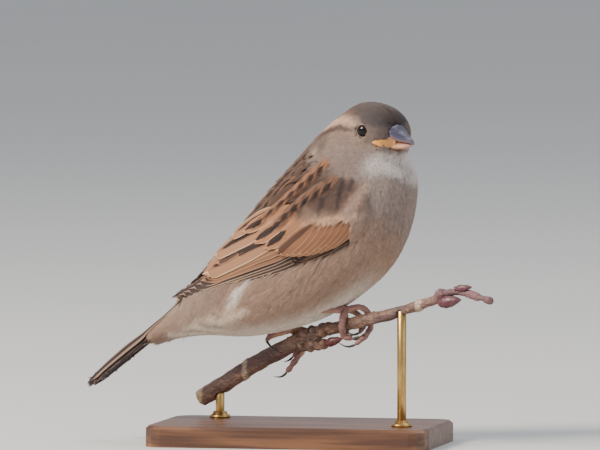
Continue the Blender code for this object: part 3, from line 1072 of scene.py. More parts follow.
@dataclass(frozen=True)
class Plumage:
    """The colours of the bird's body feathers, by their place on the body."""

    crown: Colour = linear(82, 69, 66)
    forehead: Colour = linear(79, 67, 66)
    lore: Colour = linear(120, 101, 92)
    rufous: Colour = linear(138, 98, 72)
    brow: Colour = linear(200, 168, 143)
    stripe: Colour = linear(84, 60, 50)
    ear: Colour = linear(154, 130, 116)
    cheek: Colour = linear(156, 135, 125)
    throat: Colour = linear(218, 208, 202)
    nape: Colour = linear(124, 104, 95)
    neck_patch: Colour = linear(206, 184, 168)
    breast: Colour = linear(158, 140, 131)
    flank: Colour = linear(174, 142, 121)
    belly: Colour = linear(226, 212, 198)
    vent: Colour = linear(232, 214, 192)
    vent_streak: Colour = linear(128, 106, 92)
    rump: Colour = linear(150, 126, 110)
    back: Colour = linear(104, 80, 68)
    shoulder: Colour = linear(112, 85, 72)
    silk: Colour = linear(184, 154, 136)
    bar: Colour = linear(226, 186, 152)
    tail_side: Colour = linear(136, 108, 90)
    tuft: Colour = linear(240, 230, 220)
    lower_tuft: Colour = linear(236, 212, 188)
    belts: tuple[tuple[float, float, float, float], ...] = (
        (7.0, 103.2, 39.4, 90.0),
        (0.0, 95.4, 35.9, 68.8),
        (-12.0, 81.8, 20.4, 50.2),
        (-32.4, 57.4, -17.8, 35.8),
        (-52.0, 37.4, -50.4, 31.6),
    )

    def around(self, points: Array) -> tuple[Array, Array]:
        """Where points are between neck and tail, and between back and belly, each from 0 to 1.

        Args:
            points: places on the bird in millimetres.

        Returns:
            Two shares for each point, along the body and down it.
        """
        count = 120
        knots = np.linspace(0, 1, len(self.belts))
        steps = np.linspace(0, 1, count)
        rows = np.stack([np.interp(steps, knots, c) for c in np.array(self.belts).T], axis=1)
        top, bottom = rows[:, :2], rows[:, 2:]
        flat = points[:, [0, 2]]
        way = bottom - top
        length = np.linalg.norm(way, axis=1)
        rel = flat[:, None, :] - top[None]
        off = np.abs(rel[:, :, 0] * way[:, 1] - rel[:, :, 1] * way[:, 0]) / length
        near = np.argmin(off, axis=1)
        pick = np.arange(len(points))
        down = (rel[pick, near] * way[near]).sum(axis=1) / (length[near] ** 2)
        return steps[near], np.clip(down, 0, 1)

    def head_colours(self, points: Array) -> tuple[Array, Array]:
        """Colours of the head's feathers, and how much of the head is at each point.

        Args:
            points: places on the bird in millimetres.

        Returns:
            A colour and a share from 0 to 1 for each point.
        """
        own = to_head(points)
        x, side, z = own[:, 0], np.abs(own[:, 1]), own[:, 2]
        flat = np.column_stack([x, z])
        lost = ripple(points, 3.0, 1) * 0.5
        lateral = ease(2.8, 5.2, side)
        limit = np.interp(x, (-14.0, -8.0, -2.0, 1.0, 4.0), (3.4, 6.6, 7.0, 6.2, 4.2))
        top = ease(-0.9, 0.9, z - limit + 0.12 * (6 - side) + lost)
        behind = ease(-6.5, -10.5, x + 0.25 * (z - 2) + lost)
        rufous, brow, stripe, patch = (band.mask(flat) * lateral for band in HEAD_BANDS)
        layers = [
            (self.cheek, ease(-1.0, -4.0, z + lost)),
            (self.throat, ease(-3.4, -6.8, z + lost) * ease(4.5, 9.0, x)),
            (self.lore, ease(3.6, 6.0, x + lost) * ease(-2.4, -0.6, z + lost)),
            (self.crown, top),
            (self.forehead, top * ease(1, 7, x)),
            (self.rufous, rufous * 0.6),
            (self.nape, behind * ease(-7, -2, z) * 0.85),
            (self.brow, brow),
            (self.stripe, stripe * 0.85),
            (self.neck_patch, patch * 0.85),
        ]
        share = ease(-17.0, -11.0, x + 0.35 * z) * ease(-13.5, -8.5, z)
        return painted(self.ear, len(points), layers), share

    def colours(self, points: Array) -> Array:
        """The colour of the feathers at each place.

        Args:
            points: places on the bird in millimetres.

        Returns:
            A linear colour for each point.
        """
        along, down = self.around(points)
        side = np.abs(points[:, 1])
        x, z = points[:, 0], points[:, 2]
        flat = np.column_stack([x, z])
        lost = ripple(points, 7.0, 2) * 0.05
        vent = ease(0.70, 0.80, along) * ease(0.45, 0.7, down + lost)
        waves = np.sin(side * 1.9 + ripple(points, 9, 5) * 0.8)
        streaks = ease(0.35, 0.75, waves + ripple(points, 6, 6) * 0.35)
        tuft, lower = (band.mask(flat) * ease(5.0, 9.0, side) * 0.85 for band in TUFT_BANDS)
        shoulder, bar, silk, *dark = (band.mask(flat) * ease(8.5, 12.0, side) for band in WING_BANDS)
        layers = [
            (self.breast, ease(0.36, 0.12, along + lost) * ease(0.35, 0.6, down)),
            (self.throat, ease(0.055, -0.03, along + 0.5 * lost) * ease(29.0, 34.0, x)),
            (self.nape, ease(0.16, 0.04, along + lost) * ease(0.6, 0.3, down)),
            (self.back, ease(0.42, 0.26, down + lost) * ease(0.02, 0.10, along) * ease(0.82, 0.70, along)),
            (self.rump, ease(0.66, 0.76, along) * ease(0.6, 0.4, down)),
            (self.belly, ease(0.72, 0.98, down + lost) * ease(0.30, 0.54, along) * ease(15, 8, side)),
            (self.vent, vent),
            (self.vent_streak, vent * streaks * 0.7 * ease(1.0, 2.5, side)),
            (self.tail_side, ease(-37.5, -45.0, x + 0.3 * (z - 38) + 60 * lost)),
            (self.tuft, tuft),
            (self.lower_tuft, lower),
            (self.shoulder, shoulder),
            (self.bar, bar),
            (self.silk, silk),
            *((DARK, share * 0.75) for share in dark),
        ]
        head, share = self.head_colours(points)
        return blend(painted(self.flank, len(points), layers), head, share)


class Loom:
    """The Geometry Nodes that scatter roots over a skin and lay feathers along it."""

    def __init__(self) -> None:
        """Builds the trees once."""
        self.lay = self._lay()
        self.scatter = self._scatter()

    @staticmethod
    def _open(name: str, **more: str) -> tuple[Graph, object, object]:
        """Makes an empty tree that takes and gives geometry, with a hull, shapes, a finish and more.

        Args:
            name: the tree's name.
            more: the socket type for each further input's name.

        Returns:
            The graph, what its input node puts out, and its output node.
        """
        inputs = {"Geometry": "Geometry", "Hull": "Object"}
        inputs |= {"Vanes": "Collection", "Finish": "Material"} | more
        graph, taken, given = new_tree(name, "Geometry", inputs, {"Geometry": "Geometry"})
        graph.tree.is_modifier = True
        return graph, taken, given

    @staticmethod
    def _named(graph: Graph, name: str, kind: str = "FLOAT_VECTOR") -> Socket:
        """Reads an attribute of a given kind."""
        node = graph.add("GeometryNodeInputNamedAttribute", {"Name": name}, data_type=kind)
        return node.outputs["Attribute"]

    @staticmethod
    def _moved(graph: Graph, flow: Socket, way: Socket, distance: Socket) -> Socket:
        """Moves every point of the geometry along a direction."""
        inputs = {"Geometry": flow, "Offset": graph.scaled(way, distance)}
        return graph.add("GeometryNodeSetPosition", inputs).outputs[0]

    @staticmethod
    def _end(graph: Graph, flow: Socket, taken: object, given: bpy.types.Node) -> bpy.types.NodeTree:
        """Makes the geometry real, gives it its finish and ends the tree.

        Args:
            graph: the graph.
            flow: the geometry so far.
            taken: what the input node puts out.
            given: the output node.

        Returns:
            The tree.
        """
        flow = graph.add("GeometryNodeRealizeInstances", {"Geometry": flow}).outputs[0]
        dressed = {"Geometry": flow, "Material": taken["Finish"]}
        flow = graph.add("GeometryNodeSetMaterial", dressed).outputs[0]
        return graph.give(given, {"Geometry": flow})

    def _lay(self) -> bpy.types.NodeTree:
        """Puts a vane on every root, bends it to the skin and lifts it by its own layer.

        Returns:
            The tree.
        """
        graph, taken, given = self._open("lay_feathers")
        lie, up, reach = (self._named(graph, name) for name in ("lie", "up", "reach"))
        turn = graph.add("FunctionNodeAlignRotationToVector", {"Vector": up}, axis="Z").outputs[0]
        inputs = {"Rotation": turn, "Vector": lie}
        turn = graph.add("FunctionNodeAlignRotationToVector", inputs, axis="X", pivot_axis="Z").outputs[0]
        inputs = {"Collection": taken["Vanes"], "Separate Children": True, "Reset Children": True}
        vanes = graph.add("GeometryNodeCollectionInfo", inputs).outputs[0]
        inputs = {"Points": taken["Geometry"], "Instance": vanes, "Pick Instance": True}
        inputs |= {"Instance Index": self._named(graph, "form", "INT"), "Rotation": turn, "Scale": reach}
        flow = graph.add("GeometryNodeInstanceOnPoints", inputs).outputs[0]
        flow = graph.add("GeometryNodeRealizeInstances", {"Geometry": flow}).outputs[0]
        hull = graph.add("GeometryNodeObjectInfo", {"Object": taken["Hull"]}).outputs["Geometry"]
        here = graph.add("GeometryNodeInputPosition").outputs[0]
        near = graph.add("GeometryNodeProximity", {"Geometry": hull}, target_element="FACES")
        gap = graph.vector("SUBTRACT", near.outputs["Position"], here).outputs[0]
        rise = graph.vector("DOT_PRODUCT", gap, up).outputs["Value"]
        long, _, high = graph.parts(reach)
        flow = self._moved(graph, flow, up, graph.times(long, CLEARANCE))
        for _ in range(3):
            flow = self._moved(graph, flow, up, rise)
        inputs = {"Mesh": hull, "Value": self._named(graph, "facing")}
        slope = graph.add("GeometryNodeSampleNearestSurface", inputs, data_type="FLOAT_VECTOR").outputs[0]
        turned = graph.step(graph.vector("DOT_PRODUCT", slope, up).outputs["Value"], 0.1, 0.6)
        rest = graph.scaled(up, graph.less(1.0, turned))
        slope = graph.vector("ADD", graph.scaled(slope, turned), rest).outputs[0]
        slope = graph.vector("NORMALIZE", slope).outputs[0]
        deep, climb, tilt = graph.parts(self._named(graph, "layer"))
        along, across, height = (self._named(graph, name, "FLOAT") for name in ("along", "across", "height"))
        level = graph.math("MULTIPLY_ADD", along, climb, deep)
        level = graph.math("MULTIPLY_ADD", across, tilt, level)
        level = graph.math("MULTIPLY_ADD", height, high, level)
        return self._end(graph, self._moved(graph, flow, slope, level), taken, given)

    def _scatter(self) -> bpy.types.NodeTree:
        """Scatters roots over a skin by its own crowding, and lays a tuft on each.

        Returns:
            The tree.
        """
        graph, taken, given = self._open("scatter_tufts", Seed="Int")
        crowd = self._named(graph, "crowd", "FLOAT")
        inputs = {"Mesh": taken["Geometry"], "Density": crowd, "Seed": taken["Seed"]}
        spots = graph.add("GeometryNodeDistributePointsOnFaces", inputs, distribute_method="RANDOM").outputs
        low, high = (graph.math(how, 1.0, TUFT_SPREAD) for how in ("SUBTRACT", "ADD"))
        draws = [("INT", {4: 0, 5: TUFT_FORMS - 1})]
        draws += [("FLOAT", {2: 0.0, 3: 1.0}), ("FLOAT", {2: low, 3: high})]
        form, chance, share = (
            graph.add("FunctionNodeRandomValue", {**limits, 8: taken["Seed"]}, data_type=kind).outputs
            for kind, limits in draws
        )
        stored = (
            ("root", "FLOAT_VECTOR", graph.add("GeometryNodeInputPosition").outputs[0]),
            ("root_map", "FLOAT_VECTOR", self._named(graph, "skin_map")),
            ("up", "FLOAT_VECTOR", spots["Normal"]),
            ("reach", "FLOAT_VECTOR", graph.scaled(self._named(graph, "reach"), share[1])),
            ("form", "INT", form[2]),
            ("chance", "FLOAT", chance[1]),
        )
        flow = spots["Points"]
        for name, kind, value in stored:
            inputs = {"Geometry": flow, "Name": name, "Value": value}
            node = graph.add("GeometryNodeStoreNamedAttribute", inputs, data_type=kind, domain="POINT")
            flow = node.outputs[0]
        inputs = {"Geometry": flow} | {name: taken[name] for name in ("Hull", "Vanes", "Finish")}
        flow = graph.add("GeometryNodeGroup", inputs, node_tree=self.lay).outputs[0]
        return self._end(graph, flow, taken, given)

    @staticmethod
    def run(obj: bpy.types.Object, tree: bpy.types.NodeTree, values: dict[str, object]) -> bpy.types.Object:
        """Runs a tree on an object and keeps the result as its plain mesh.

        Args:
            obj: the object whose mesh goes in.
            tree: the tree to run.
            values: the value of each named input.

        Returns:
            The same object, with the new mesh and no modifier.
        """
        modifier = obj.modifiers.new(tree.name, "NODES")
        modifier.node_group = tree
        for item in tree.interface.items_tree:
            if getattr(item, "in_out", "") == "INPUT" and item.name in values:
                modifier[item.identifier] = values[item.name]
        return settled(obj)


def feather_shape(name: str, points: list, faces: list, **kept: list) -> bpy.types.Object:
    """An object of one feather, with the values that the loom and the colours read at each vertex.

    Args:
        name: the object's name.
        points: places, one per row.
        faces: vertex numbers of each face.
        kept: values for each attribute's name.

    Returns:
        The object.
    """
    obj = make_object(name, np.array(points), faces)
    for key, values in kept.items():
        carry(obj.data, key, np.array(values), "FLOAT")
    return obj


@dataclass(frozen=True)
class TuftShape:
    """The outline of one tuft: a fan of thin closed barbs from one root, of length and width one."""

    barbs: int = 6
    thin: float = 0.135
    thick: float = 0.8
    uneven: float = 0.22
    first: float = 0.75

    def build(self, name: str, seed: int) -> bpy.types.Object:
        """Makes the tuft.

        Args:
            name: the object's name.
            seed: picks the barbs' own lengths and bends.

        Returns:
            An object with the attributes along, across and height.
        """
        rng = np.random.default_rng(seed)
        points, faces, along, height = [], [], [], []
        for i in range(self.barbs):
            spread = (i + 0.5) / self.barbs * 2 - 1
            length = 1.0 - 0.30 * spread**2 - rng.uniform(0.0, self.uneven)
            tip = 0.5 * spread * rng.uniform(0.75, 1.15)
            bend = rng.uniform(-0.10, 0.10)
            lift = rng.uniform(0.75, 1.1)
            first = len(points)
            for t, half in ((0.0, self.first), (0.52, 1.0)):
                x = length * t
                y = tip * t**0.7 + bend * math.sin(math.pi * t)
                level = (-0.25 + 1.05 * t**0.9) * lift
                for side, over in ((-1.0, 0.0), (1.0, 0.0), (0.0, 1.0)):
                    points.append((x, y + side * half * self.thin, 0.0))
                    along.append(x)
                    height.append(level + over * half * self.thick * 0.4)
            points.append((length, tip, 0.0))
            along.append(length)
            height.append(0.72 * lift)
            a, b, c, d, e, f, g = range(first, first + 7)
            faces += [(a, c, b), (a, b, e, d), (b, c, f, e), (c, a, d, f), (d, e, g), (e, f, g), (f, d, g)]
        across = np.array(points)[:, 1] * 2
        return feather_shape(name, points, faces, along=along, across=across, height=height)


@dataclass(frozen=True)
class VaneShape:
    """The outline of one vane: a thin closed leaf of length one and width one, with a worn tip."""

    form: Form
    root: float
    widest: float
    blunt: float
    sweep: float
    steps: int = 14
    strips: int = 6
    wear: float = 0.006

    def half_width(self, t: Array) -> Array:
        """Half the vane's width at each share of its length.

        Args:
            t: shares of the length.

        Returns:
            One half-width for each.
        """
        rise = self.root + (1 - self.root) * ease(0.0, self.widest, t)
        end = np.clip((1 - t) / (1 - self.blunt), 0, 1)
        return 0.5 * rise * np.sqrt(1 - (1 - end) ** 2)

    def build(self, name: str, seed: int) -> bpy.types.Object:
        """Makes the vane.

        Args:
            name: the object's name.
            seed: picks the wear of the tip.

        Returns:
            An object with the attributes along, across and height.
        """
        rng = np.random.default_rng(seed)
        ts = 1 - (1 - np.linspace(0, 1, self.steps)) ** 1.25
        vs = np.linspace(-1, 1, self.strips + 1)
        points, along, across, height = [], [], [], []
        for level in (1.0, 0.0):
            wear = rng.normal(size=(self.steps, self.strips + 1)) * self.wear
            for i, t in enumerate(ts):
                half = max(float(self.half_width(np.array([t]))[0]), 0.004)
                for j, v in enumerate(vs):
                    worn = wear[i, j] * (0.3 + t * 2.2) if 0 < i else 0.0
                    x = t * (1 - 0.5 * self.blunt * 0.12 * v * v) + worn
                    y = v * half + self.sweep * (t * t - t) + worn * 0.5 * abs(v)
                    points.append((x, y, 0.0))
                    along.append(t)
                    across.append(v)
                    height.append(level * (1.0 - 0.55 * v * v) * (1 - 0.75 * t) + 0.25 * level)
        row = self.strips + 1
        count = self.steps * row
        faces = []
        for i in range(self.steps - 1):
            for j in range(self.strips):
                a = i * row + j
                faces.append((a, a + row, a + row + 1, a + 1))
                faces.append((count + a, count + a + 1, count + a + row + 1, count + a + row))
        rim = list(range(row))
        rim += [i * row + self.strips for i in range(1, self.steps)]
        rim += [(self.steps - 1) * row + j for j in range(self.strips - 1, -1, -1)]
        rim += [i * row for i in range(self.steps - 2, 0, -1)]
        for a, b in zip(rim, rim[1:] + rim[:1]):
            faces.append((a, b, count + b, count + a))
        return feather_shape(name, points, faces, along=along, across=across, height=height)


def kept_forms(name: str, objects: list[bpy.types.Object]) -> bpy.types.Collection:
    """A collection of shapes that are only there to be copied.

    Args:
        name: the collection's name.
        objects: the shapes.

    Returns:
        The collection.
    """
    group = bpy.data.collections.new(name)
    bpy.context.scene.collection.children.link(group)
    for obj in objects:
        bpy.context.scene.collection.objects.unlink(obj)
        group.objects.link(obj)
    return group


def clear_forms(group: bpy.types.Collection) -> None:
    """Removes a collection with the shapes in it.

    Args:
        group: the collection.
    """
    for obj in list(group.objects):
        drop(obj)
    bpy.data.collections.remove(group)


@dataclass
class Body:
    """The hull that feathers lie on, the skin under them, and the coat of tufts."""

    plumage: Plumage
    finish: bpy.types.Material
    voxel: float = 0.6 * MM
    swell: float = 0.28 * MM
    depth: float = 0.8 * MM
    eye_clear: float = 2.15
    drawn: float = 3.0 * MM
    gape_clear: float = 1.2
    tail_way: Flat = (-0.784, -0.62)

    def __post_init__(self) -> None:
        """Builds the hull and reads its surface."""
        parts = [merged_copy(node, self.swell) for node in FLESH + WINGS + TAILS]
        bill_way = from_head((0, 0, 0)), head_pose()[:, 0]
        parts += [self._plug(f"bill_{half}", *bill_way, 10.0) for half in HALVES]
        parts += [self._plug(f"eye_{side.word}", *eye_axis(side), 1.7) for side in Side]
        self.hull = remeshed(joined(parts, "hull"), self.voxel)
        mesh = self.hull.data
        self.net = Net(mesh)
        points = self.net.smoothed(places(mesh), 5)
        move_to(mesh, points)
        move_to(mesh, points - outward(mesh) * self.swell * 0.8)
        self.points, self.normals = places(mesh), unit(self.net.smoothed(outward(mesh), 3))
        carry(mesh, "facing", self.normals)
        self.tree = tree_of(self.hull)
        self._read()
        log.info("hull: %d vertices", len(self.points))

    @staticmethod
    def _plug(node: str, origin: Array, axis: Array, limit: float) -> bpy.types.Object:
        """A node's copy, cut off flat along an axis, that fills the hollow it sits in.

        Args:
            node: the node that sits in the hollow.
            origin: where the axis starts, in millimetres.
            axis: the axis's direction.
            limit: how far along the axis the copy may reach, in millimetres.

        Returns:
            A new object.
        """
        obj = merged_copy(node, 0.42 * MM)
        points = places(obj.data)
        over = np.maximum((points / MM - origin) @ axis - limit, 0.0)
        move_to(obj.data, points - over[:, None] * axis * MM)
        return obj

    def _read(self) -> None:
        """Finds the lie, the spread of tufts and the regions over the hull."""
        root = np.array(Vector(from_head(BILL_ROOT) * MM))
        rim = np.linalg.norm(self.points - root, axis=1)
        start = np.nonzero(rim < max(4.2 * MM, rim.min() + MM))[0]
        far = self.net.walked(self.points, start)
        self.far = self.net.smoothed(far, 12) / MM
        lie = self.net.slope(self.points, self.net.smoothed(self.far, 20))
        for _ in range(40):
            lie = lie - self.normals * (lie * self.normals).sum(axis=1, keepdims=True)
            lie = self.net.smoothed(unit(lie), 1, 0.6)
        self.lie = unit(lie - self.normals * (lie * self.normals).sum(axis=1, keepdims=True))
        self.nearest = self._nearest_node()
        self.wings, self.bare = np.isin(self.nearest, WING_NUMBERS), np.isin(self.nearest, BARE_NUMBERS)

    def _nearest_node(self) -> Array:
        """The number of the CAD node nearest to each vertex, in the order of flesh, wings and tails.

        Returns:
            One number per vertex.
        """
        names = FLESH + WINGS + TAILS
        best, owner = np.full(len(self.points), 1e9), np.zeros(len(self.points), int)
        for number, node in enumerate(names):
            copy = merged_copy(node)
            tree = tree_of(copy)
            drop(copy)
            low, high = (np.array(c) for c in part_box(node))
            inside = np.all((self.points > low - 2 * MM) & (self.points < high + 2 * MM), axis=1)
            for i in np.nonzero(inside)[0]:
                distance = tree.find_nearest(Vector(self.points[i]))[3]
                if distance < best[i]:
                    best[i], owner[i] = distance, number
        return owner

    def thickness(self) -> Array:
        """How thick the hull is under each vertex, in metres.

        Returns:
            One thickness per vertex.
        """
        result = np.empty(len(self.points))
        for i, (point, normal) in enumerate(zip(self.points, self.normals)):
            way = Vector(-normal)
            hit = self.tree.ray_cast(Vector(point) + way * 0.05 * MM, way, 0.02)
            result[i] = hit[3] if hit[0] is not None else 0.02
        return result

    def skin(self) -> bpy.types.Object:
        """The skin: the hull drawn in by the coat's depth, with the coat's own markings.

        Returns:
            The skin.
        """
        mesh = self.hull.data.copy()
        mesh.name = "skin"
        own = np.linalg.norm(self.points / MM - np.array(HEAD_CENTRE), axis=1)
        depth = self.depth * (0.55 + 0.45 * ease(9.0, 22.0, own))
        bare = self.net.smoothed(self.bare.astype(float), 3)
        depth = depth + 0.5 * MM * bare
        depth = np.minimum(depth, 0.40 * self.net.smoothed(self.thickness(), 4))
        x = self.points[:, 0] / MM
        ends = bare * np.where(self.wings, ease(-30.0, -42.0, x), ease(-60.0, -72.0, x))
        inner = self.points - self.normals * self.net.smoothed(depth, 6)[:, None]
        move_to(mesh, inner - self.lie * (self.net.smoothed(ends, 6) * self.drawn)[:, None])
        tint = self.plumage.colours(self.points / MM) * 0.88
        tint = blend(tint, linear(70, 54, 48), bare)
        mesh.materials.clear()
        obj = linked("skin", mesh)
        dye(obj, tint, self.finish)
        carry(mesh, "shade", tint * 0.8, "FLOAT_COLOR")
        self._unwrap(obj)
        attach(obj, "root")
        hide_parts(*FLESH, *WINGS, *TAILS)
        return obj

    @staticmethod
    def _unwrap(obj: bpy.types.Object) -> None:
        """Unwraps the skin's own shape into a map named OFBake.

        Args:
            obj: the skin.
        """
        obj.data.uv_layers.new(name=SKIN_MAP)
        bpy.ops.object.select_all(action="DESELECT")
        bpy.context.view_layer.objects.active = obj
        obj.select_set(True)
        bpy.ops.object.mode_set(mode="EDIT")
        bpy.ops.mesh.select_all(action="SELECT")
        bpy.ops.uv.smart_project(angle_limit=math.radians(66), island_margin=0.004)
        bpy.ops.object.mode_set(mode="OBJECT")

    def crowding(self) -> tuple[Array, Array]:
        """How many tufts stand on a square metre, and the reach of each, over the hull.

        Returns:
            The crowding, and the length, width and lift of the tufts in metres.
        """
        points, far = self.points / MM, self.far
        length = np.interp(far, [0, 5, 12, 22, 36, 55, 85], [0.9, 1.3, 2.2, 3.4, 4.8, 6.2, 7.2])
        crowd = np.interp(far, [0, 5, 12, 22, 36, 55, 85], [9.0, 7.6, 5.6, 3.3, 2.3, 1.9, 1.8])
        width = length * np.interp(far, [0, 12, 24, 50], [0.60, 0.50, 0.34, 0.28])
        lift = np.interp(far, [0, 12, 30, 60, 78, 95], [0.28, 0.42, 0.75, 0.95, 0.7, 0.3])
        low = ease(50.0, 44.0, points[:, 2]) * np.isin(self.nearest, THIGH_NUMBERS)
        length = length * (1 - 0.45 * low)
        (x, _, z), (way_x, way_z) = TAIL_ROOT, self.tail_way
        past = way_x * (points[:, 0] - x) + way_z * (points[:, 2] - z) - 3.5 * ease(42.0, 36.0, points[:, 2])
        length = np.minimum(length, np.maximum(3.0, (17.0 - past) * 0.9))
        lift = lift * (0.35 + 0.65 * ease(10.0, 2.0, past))
        crowd = np.where(past > 12.0, 0.0, crowd)
        crowd, length = self._round_eyes(points, crowd, length)
        along, down = self.plumage.around(points)
        bar = 74.2 + 0.22 * (points[:, 0] - 5.6)
        shoulder = self.wings & ((points[:, 0] > 22.3) | ((points[:, 2] > bar) & (points[:, 0] > 5.0)))
        length = np.where(self.wings, length * 0.9, length)
        length = np.where(shoulder, length * 0.88, length)
        crowd = np.where(shoulder, crowd * 1.6, crowd)
        crowd = np.where(self.bare & ~shoulder, 0.0, crowd)
        own = to_head(points)
        gape = Band(tuple((*p, self.gape_clear) for p in GAPE_LINE[:-1]), 0.1).mask(own[:, [0, 2]]) > 0.5
        base = (own[:, 0] > 10.8) & (own[:, 2] > -3.6)
        crowd = np.where((gape | base) & (far < 6), 0.0, crowd)
        under = ease(0.40, 0.28, down) * ease(0.06, 0.12, along) * ease(0.70, 0.62, along)
        crowd = crowd * (1 - 0.7 * under)
        reach = np.column_stack([length, width, lift]) * MM
        return crowd / MM**2, reach

    def _round_eyes(self, points: Array, crowd: Array, length: Array) -> tuple[Array, Array]:
        """Clears the lids of tufts, and cuts short the tufts that would lie over an eye.

        Args:
            points: the hull's vertices in millimetres.
            crowd: the crowding so far.
            length: the tufts' lengths so far, in millimetres.

        Returns:
            The crowding and the lengths.
        """
        for side in Side:
            eye, faces = eye_axis(side)
            rel = points - (eye + faces * EYE_RADIUS * 0.7)
            away = np.linalg.norm(rel - (rel @ faces)[:, None] * faces, axis=1)
            close = (np.linalg.norm(rel, axis=1) < 9) & (rel @ faces > -3.0)
            crowd = np.where(close & (away < self.eye_clear + 0.25), 0.0, crowd)
            ahead = -(rel * self.lie).sum(axis=1)
            off = np.sqrt(np.maximum((rel**2).sum(axis=1) - ahead**2, 0))
            chord = np.sqrt(np.maximum(self.eye_clear**2 - off**2, 0))
            limit = np.where(close & (ahead > 0) & (off < self.eye_clear + 0.3), ahead - chord - 0.05, 99.0)
            length = np.minimum(length, np.maximum(limit, 0.35))
        return crowd, length

    def coat(self, loom: Loom) -> None:
        """Grows the coat in bands from the bill to the tail, in a left and a right half.

        Args:
            loom: the trees that lay the tufts.
        """
        names = ("face", "cheek", "neck", "breast", "flank", "belly", "vent")
        edges = (0.0, 9.0, 18.0, 34.0, 52.0, 72.0, 92.0, 1e9)
        crowd, reach = self.crowding()
        base = self.hull.data.copy()
        carry(base, "reach", reach)
        carry(base, "lie", self.lie)
        self._copy_map(base)
        forms = kept_forms("tufts", [TuftShape().build(f"tuft_{i}", SEED + i) for i in range(TUFT_FORMS)])
        across = np.where(self.far < edges[2], to_head(self.points / MM)[:, 1], self.points[:, 1] / MM)
        for band, name in enumerate(names):
            for side in Side:
                here = (self.far >= edges[band]) & (self.far < edges[band + 1])
                here &= (across > 0) == (side is Side.LEFT)
                mesh = base.copy()
                carry(mesh, "crowd", np.where(here, crowd, 0.0), "FLOAT")
                obj = linked(f"coat_{name}_{side.word}", mesh)
                values = {"Hull": self.hull, "Vanes": forms, "Finish": self.finish, "Seed": SEED + 7 * band}
                self._dress(loom.run(obj, loom.scatter, values))
        clear_forms(forms)

    def _copy_map(self, base: bpy.types.Mesh) -> None:
        """Copies the skin's unwrap onto the scattering mesh as the attribute skin_map.

        Args:
            base: the mesh that tufts are scattered over.
        """
        source = bpy.data.objects["skin"].data.uv_layers[SKIN_MAP]
        flat = np.empty(len(base.loops) * 2)
        source.uv.foreach_get("vector", flat)
        attribute = base.attributes.new("skin_map", "FLOAT_VECTOR", "CORNER")
        wide = np.column_stack([flat.reshape(-1, 2), np.zeros(len(base.loops))])
        attribute.data.foreach_set("vector", wide.ravel())

    def _dress(self, obj: bpy.types.Object) -> None:
        """Colours a piece of the coat and gives each tuft its patch of the skin's map.

        Args:
            obj: the piece.
        """
        mesh = obj.data
        mesh.name = obj.name
        root, along = carried(mesh, "root") / MM, carried(mesh, "along", 1)
        across, chance = carried(mesh, "across", 1), carried(mesh, "chance", 1)
        points = places(mesh) / MM
        wander = np.stack([np.sin(chance * 91), np.sin(chance * 47 + 1), np.sin(chance * 133 + 2)], axis=1)
        spread = np.linalg.norm(carried(mesh, "reach"), axis=1) / MM
        seen = 0.55 * points + 0.45 * root + wander * (spread * 0.07)[:, None]
        tint = self.plumage.colours(seen)
        barb = np.sin(across * 8 + chance * 90) + 0.6 * np.sin(across * 17 + chance * 40)
        lie = carried(mesh, "lie")
        middle = root - np.array((0.0, 0.0, 70.0))
        drawn_out = middle - 0.8 * lie * (middle * lie).sum(axis=1, keepdims=True)
        streak = ripple(drawn_out, 1.7, 31) + 0.7 * ripple(root, 1.1, 32)
        # Darker towards the root: partly the real grey down at a feather's base, partly painted shade under
        # overlapping tufts.
        level = (0.62 + 0.46 * along) * (1.0 + 0.10 * (chance - 0.5) * 2 + 0.09 * barb + 0.09 * streak)
        tint = tint * level[:, None]
        carry(mesh, "tint", tint, "FLOAT_COLOR")
        carry(mesh, "shade", tint * 0.7, "FLOAT_COLOR")
        map_root = carried(mesh, "root_map")
        layer = mesh.uv_layers.get(SKIN_MAP) or mesh.uv_layers.new(name=SKIN_MAP)
        corner = np.empty(len(mesh.loops), int)
        mesh.loops.foreach_get("vertex_index", corner)
        patch = np.column_stack([map_root[:, 0] + (along - 0.5) * PATCH, map_root[:, 1] + across * PATCH / 2])
        layer.uv.foreach_set("vector", np.clip(patch[corner], 0.0, 1.0).ravel())
        strip(mesh, SPARE + ("root", "root_map", "chance", "crowd", "facing", "skin_map"))
        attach(obj, "root")
        log.info("%s: %d triangles", obj.name, sum(len(p.vertices) - 2 for p in mesh.polygons))


@dataclass(frozen=True)
class Row:
    """A row of like feathers, from the outermost to the innermost, on the side of the bird.

    Roots and tips are (x, z) places in millimetres at the row's first, middle and last feather.
    Layer holds how deep the first feather's root lies, how much its tip rises from that, how much its outer
    edge is tipped, and how much higher each next feather lies.
    """

    form: Form
    count: int
    roots: tuple[Flat, Flat, Flat]
    tips: tuple[Flat, Flat, Flat]
    widths: Flat
    layer: tuple[float, float, float, float]
    middle: Colour
    edge: Colour
    tip: Colour
    marks: tuple[float, float, float]
    fade: tuple[float, float, float] = (-0.3, 1.3, 0.02)
    thick: float = 0.10

    @staticmethod
    def between(three: tuple[Flat, Flat, Flat], t: float) -> Array:
        """The place at a share of the way through three places."""
        a, b, c = (np.array(p) for p in three)
        return a * (2 * t - 1) * (t - 1) + b * 4 * t * (1 - t) + c * t * (2 * t - 1)


